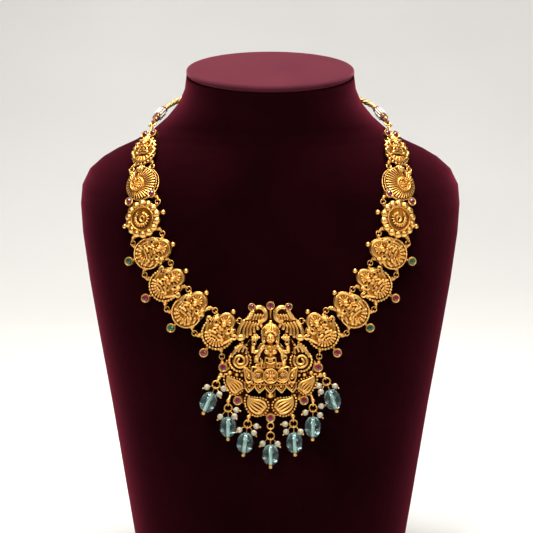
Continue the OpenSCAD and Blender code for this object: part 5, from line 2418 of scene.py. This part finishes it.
    def _pot(self) -> None:
        """Adds the small pot and the hand that holds it."""
        c, z = self.casting, self.seat
        c.hoop((7.4, 1.4), 1.35, z + 1.0, 0.45)
        c.disc((7.4, 1.4), 1.3, 0.7, z + 0.5)
        for y, r in ((-0.4, 1.3), (-1.2, 1.55), (-2.0, 1.4), (-2.8, 1.15)):
            c.grain(7.2, y, z + 0.2, r, (1, 0.36, 0.9))

    def _lotus(self) -> None:
        """Adds the lotus seat with its medals, its leaves and the petals under it."""
        c, z = self.casting, self.seat
        self._medal((0, -8.6), 4.2, z + 1.3)
        for _ in c.halves():
            self._medal((6.6, -8.1), 3.2, z + 0.6)
            leaf = (
                (4.0, -11.2), (3.4, -8.4), (4.4, -5.8), (6.8, -4.4), (9.9, -3.7), (10.2, -6.8), (9.4, -10.2),
                (7.4, -11.9),
            )
            c.wire(leaf, z + 0.5, 0.5, closed=True)
            c.disc((6.6, -6.4), 2.6, 0.7, z + 0.2)
            outer = (
                (10.4, -11.4), (10.2, -8.2), (11.2, -6.0), (14.2, -4.2), (14.0, -7.2), (13.6, -10.0),
                (12.4, -12.0),
            )
            c.wire(outer, z + 0.2, 0.5, closed=True)
            inner = ((11.3, -10.2), (11.2, -8.2), (13.0, -6.2), (12.8, -9.0))
            c.wire(inner, z + 0.4, 0.3, closed=True)
            c.petal(11.4, -10.2, z - 0.3, 68, 6.6, 3.4, 2.0)
            c.grain(11.8, -8.6, z + 0.6, 0.6)
            c.grain(10.2, -12.2, z, 0.8)
            c.grain(12.6, -12.0, z - 0.2, 0.8)
        for k in range(-2, 3):
            self._pointed(5.6 * k, -13.2 + 0.3 * abs(k), 0.5 * k, 2.85 if k == 0 else 2.6)
        c.grain(0, -19.6, self.back, 1.7, (1.2, 0.9, 1))
        c.hoop((0, -19.6), 1.2, self.back + 0.6, 0.3)
        c.string((-12.2, -12.6), (1.743, 0), 15, 0.45, z - 0.1)
        c.wire([(-12.8, -12.9), (-6, -13.3), (0, -13.4), (6, -13.3), (12.8, -12.9)], z - 0.6, 0.4)

    def _medal(self, middle: Point, r: float, top: float) -> None:
        """Adds a ringed medal with a small leaf rosette.

        Args:
            middle: Its middle.
            r: Its radius, over 4 for the large one.
            top: Height of its rim.
        """
        c = self.casting
        x, y = middle
        c.disc(middle, r, 0.7, top - 0.35)
        c.hoop(middle, r - 0.35, top, 0.4)
        c.hoop(middle, r - 1.15, top - 0.1, 0.22)
        count = 5 if r > 4 else 8
        for k in range(count):
            a = 90 + 360 * k / count
            if r > 4:
                c.petal(x, y - 0.2, top - 0.15, a, r - 1.3, 1.5, 1.1)
                c.grain(*polar(middle, 2.0, a + 36), top - 0.1, 0.42)
            else:
                c.grain(*polar(middle, 1.35, a), top - 0.15, 0.34)
        if r > 4:
            c.grain(x, y, top + 0.2, 0.62)
        else:
            c.hoop((x, y + 0.2), 0.78, top + 0.05, 0.24)

    def _pointed(self, x: float, y: float, lean: float, r: float) -> None:
        """Adds a hanging petal with a double outline and a small bud in it.

        Args:
            x: Its middle's place to the right.
            y: Its upper edge's place up.
            lean: How far its tip lies to the right of its middle.
            r: Its half width.
        """
        c, z = self.casting, self.relief
        tip = (x + lean, y - 5.1)
        left, right = x - r * 0.92 + lean * 0.3, x + r * 0.92 + lean * 0.3
        edge = [(x - r, y + 0.6), (left, y - 2.2), tip, (right, y - 2.2), (x + r, y + 0.6)]
        c.slab(edge, 0.7, z - 0.5)
        c.wire(edge[:3], z, 0.5, 0.42)
        c.wire(edge[2:], z, 0.42, 0.5)
        small = [(x + 0.62 * (px - x), y - 0.4 + 0.66 * (py - y)) for px, py in edge]
        c.wire(small[:3], z + 0.05, 0.24)
        c.wire(small[2:], z + 0.05, 0.24)
        c.grain(x + lean * 0.4, y - 1.3, z, 0.8, (1, 1.3, 0.9))
        for step in (-1.05, 1.05):
            c.grain(x + step, y - 0.3, z, 0.52)


# Relief value of the crisp cups and eyelets: no patina or painted shade, the proud colour with its painted
# highlight all over.
CRISP_RELIEF = 0.74


def crisp(obj: bpy.types.Object, casting: Relief, wires: Sequence[Line]) -> bpy.types.Object:
    """Adds a casting's cups and soldered eyelets, which keep their sharp edges.

    Args:
        obj: The fused piece in its own frame.
        casting: What it was cast from.
        wires: The eyelets' wires in the same frame.

    Returns:
        The joined piece.
    """
    parts = [obj, *casting.crisp_cups()]
    if wires:
        parts.append(tubes("eyelets", wires, 3))
    for part in parts[1:]:
        layer = part.data.attributes.new("relief", "FLOAT", "POINT")
        layer.data.foreach_set("value", np.full(len(part.data.vertices), CRISP_RELIEF, np.float32))
        smooth(part, 40)
    return join(parts, casting.name)


PLAQUE_KINDS = (ArchPlaque, ShellPlaque, CoilPlaque, OvalPlaque, RoundPlaque, OvalPlaque, RoundPlaque)


@dataclass
class PlaqueRows:
    """The two rows of seven plaques, the right row being the left one's mirror image."""

    plate: float = 2.2
    voxel: float = 0.18
    most: int = 34000

    def build(self, kit: Templates, looks: Finishes) -> None:
        """Casts each kind once and sets its copies on the bust.

        Args:
            kit: The shapes to copy.
            looks: The materials.
        """
        castings: dict[type, tuple[Relief, bpy.types.Object]] = {}
        for kind in PLAQUE_KINDS:
            if kind not in castings:
                relief = kind().model(kit)
                castings[kind] = (relief, relief.cast(self.voxel, self.most))
        for k, kind in enumerate(PLAQUE_KINDS):
            relief, obj = castings[kind]
            place = SEATS[k].place()
            base = copied(obj, Matrix.Identity(4), relief.name)
            piece = crisp(base, relief, self._eyelets(k, place.inverted()))
            for half in Half:
                label = f"{half.value}{k + 1}"
                world = Matrix.Scale(MM, 4) @ half.turn() @ place
                turned = copied(piece, world, f"{relief.name}_{label}")
                if half is Half.RIGHT:
                    turned.data.flip_normals()
                finish_piece(turned, [looks.cast], [f"plaque_{label}"])
            bpy.data.objects.remove(piece)
        for _, obj in castings.values():
            bpy.data.objects.remove(obj)

    def _anchor(self, k: int, outer: bool, upper: bool) -> Vector:
        """Finds the point inside a plaque that holds one of its eyelets.

        Args:
            k: Which plaque of the row.
            outer: Whether it holds the outer ring.
            upper: Whether the ring is above the plaque.

        Returns:
            The point in the world.
        """
        at = SEATS[k].place() @ Vector((0, 0, 0))
        out = SEATS[k].axes() @ Vector((0, 0, 1))
        way = JOINTS[k - 1 if upper else k].middle(outer) - at
        reach = way - out * way.dot(out)
        return at + reach * ((reach.length - 6) / reach.length) + out * self.plate * 0.5

    def _eyelets(self, k: int, inside: Matrix) -> list[Line]:
        """Draws one plaque's eyelets in its own frame.

        Args:
            k: Which plaque of the row.
            inside: The matrix from the world to its frame.

        Returns:
            The wires.
        """
        lines: list[Line] = []
        for upper in (False, True):
            if upper and k == 0:
                continue
            joint = JOINTS[k - 1 if upper else k]
            for outer in joint.sides():
                lines += joint.eyelet(outer, upper, self._anchor(k, outer, upper))
        if k == 0:
            run, out = end_frame()
            eye = END_LINK - run * END_R
            hold = SEATS[0].place() @ Vector((-1.4, 9, 1.1))
            lines.append(circle(eye, run, out, 1.25, 0.4))
            lines.append(Line([eye - run * 1.25, hold], [0.6, 0.6], False))
        return [Line([inside @ p for p in line.points], line.radii, line.closed) for line in lines]


@dataclass
class Carried:
    """The CAD nodes whose own shape stays: rings, links and pins."""

    names: tuple[str, ...] = (
        "link_rings_left", "link_rings_right", "end_links",
        *(f"drop_ring_{i}" for i in range(1, 8)), *(f"drop_pin_{i}" for i in range(1, 8)),
    )

    def dress(self, looks: Finishes) -> None:
        """Gives each node the bright gold of drawn wire.

        Args:
            looks: The materials.
        """
        for name in self.names:
            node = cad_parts[name]
            for slot in node.material_slots:
                slot.material = looks.wire
            LOG.info("%s: kept, with gold wire", name)


@dataclass
class Studio:
    """Camera, floor and soft light."""

    lens: float = 100
    rise: float = 10
    place: tuple[float, float, float] = (-0.0022, -0.8599, 0.3274)
    drop: float = -0.0005
    bend_from: float = 0.7
    bend: float = 0.9
    bends: int = 12

    def camera(self) -> None:
        """Puts the camera where the photograph was taken."""
        data = bpy.data.cameras.new("camera")
        data.lens = self.lens
        data.sensor_width = 36
        data.clip_start = 0.01
        camera = bpy.data.objects.new("camera", data)
        camera.location = self.place
        camera.rotation_euler = (math.radians(90 - self.rise), 0, 0)
        bpy.context.scene.collection.objects.link(camera)
        bpy.context.scene.camera = camera

    def light(self) -> None:
        """Lays the floor, which sweeps up into a backdrop, and hangs the lamps."""
        deselect()
        bpy.ops.mesh.primitive_plane_add(size=2, location=(0, 0, 0))
        floor = bpy.context.object
        floor.name = "floor"
        for vertex in floor.data.vertices:
            back = vertex.co.y > 0
            vertex.co = (math.copysign(5, vertex.co.x), self.bend_from if back else -3, self.drop)
        bpy.ops.object.mode_set(mode="EDIT")
        bpy.ops.mesh.select_all(action="DESELECT")
        bpy.ops.object.mode_set(mode="OBJECT")
        for edge in floor.data.edges:
            edge.select = all(floor.data.vertices[i].co.y > 0 for i in edge.vertices)
        bpy.ops.object.mode_set(mode="EDIT")
        bpy.ops.mesh.select_mode(type="EDGE")
        before = (0.0, 0.0)
        for k in range(1, self.bends + 1):
            a = math.radians(90 * k / self.bends)
            at = (self.bend * math.sin(a), self.bend * (1 - math.cos(a)))
            push(0, at[0] - before[0], at[1] - before[1])
            before = at
        push(0, 0, 2.5)
        bpy.ops.object.mode_set(mode="OBJECT")
        smooth_all(floor)
        n = Nodes("floor_pale")
        n.constants(Roughness=0.95, Specular_IOR_Level=0.1)
        pale = n.ramp(n.noise(3, 2), [(0.3, (0.7, 0.69, 0.67)), (0.7, (0.74, 0.73, 0.71))])
        n.link(pale, n.shader.inputs["Base Color"])
        floor.data.materials.append(n.material)
        world = bpy.data.worlds.new("studio")
        world.use_nodes = True
        world.node_tree.nodes["Background"].inputs["Color"].default_value = (0.86, 0.87, 0.9, 1)
        world.node_tree.nodes["Background"].inputs["Strength"].default_value = 0.12
        bpy.context.scene.world = world
        bpy.context.scene.view_settings.view_transform = "Standard"
        self._lamp("key", (-0.35, -0.7, 1.0), 0.3, 5.8, (1.0, 0.95, 0.87))
        self._lamp("fill", (0.6, -0.75, 0.7), 0.35, 2.4, (1.0, 0.94, 0.86))
        self._lamp("top", (0.0, 0.0, 1.1), 0.5, 13.5, (1.0, 0.98, 0.95))
        self._lamp("wash", (0.0, 0.6, 2.4), 1.6, 30, (1.0, 1.0, 1.0), (0, 1.2, 0.1))

    def _lamp(
        self, name: str, place: tuple[float, float, float], size: float, power: float,
        colour: Colour, target: tuple[float, float, float] = (0, -0.05, 0.17),
    ) -> None:
        """Hangs one soft square lamp.

        Args:
            name: The lamp's name.
            place: Where it hangs.
            size: Its side in metres.
            power: Its power in watts.
            colour: Its colour.
            target: The point that it faces, usually the necklace.
        """
        data = bpy.data.lights.new(name, "AREA")
        data.size = size
        data.energy = power
        data.color = colour
        lamp = bpy.data.objects.new(name, data)
        lamp.location = place
        way = Vector(target) - Vector(place)
        lamp.rotation_euler = way.to_track_quat("-Z", "Y").to_euler()
        bpy.context.scene.collection.objects.link(lamp)


def main() -> None:
    """Builds and dresses the whole object."""
    logging.basicConfig(level=logging.INFO, format="%(name)s: %(message)s")
    studio = Studio()
    studio.camera()
    looks = Finishes()
    BackCord().build(looks)
    Bust().build(looks)
    kit = Templates()
    PlaqueRows().build(kit, looks)
    Pendant().build(kit, looks)
    kit.clear()
    Stones().build(looks)
    Drops().build(looks)
    Carried().dress(looks)
    studio.light()


if __name__ == "__main__":
    main()
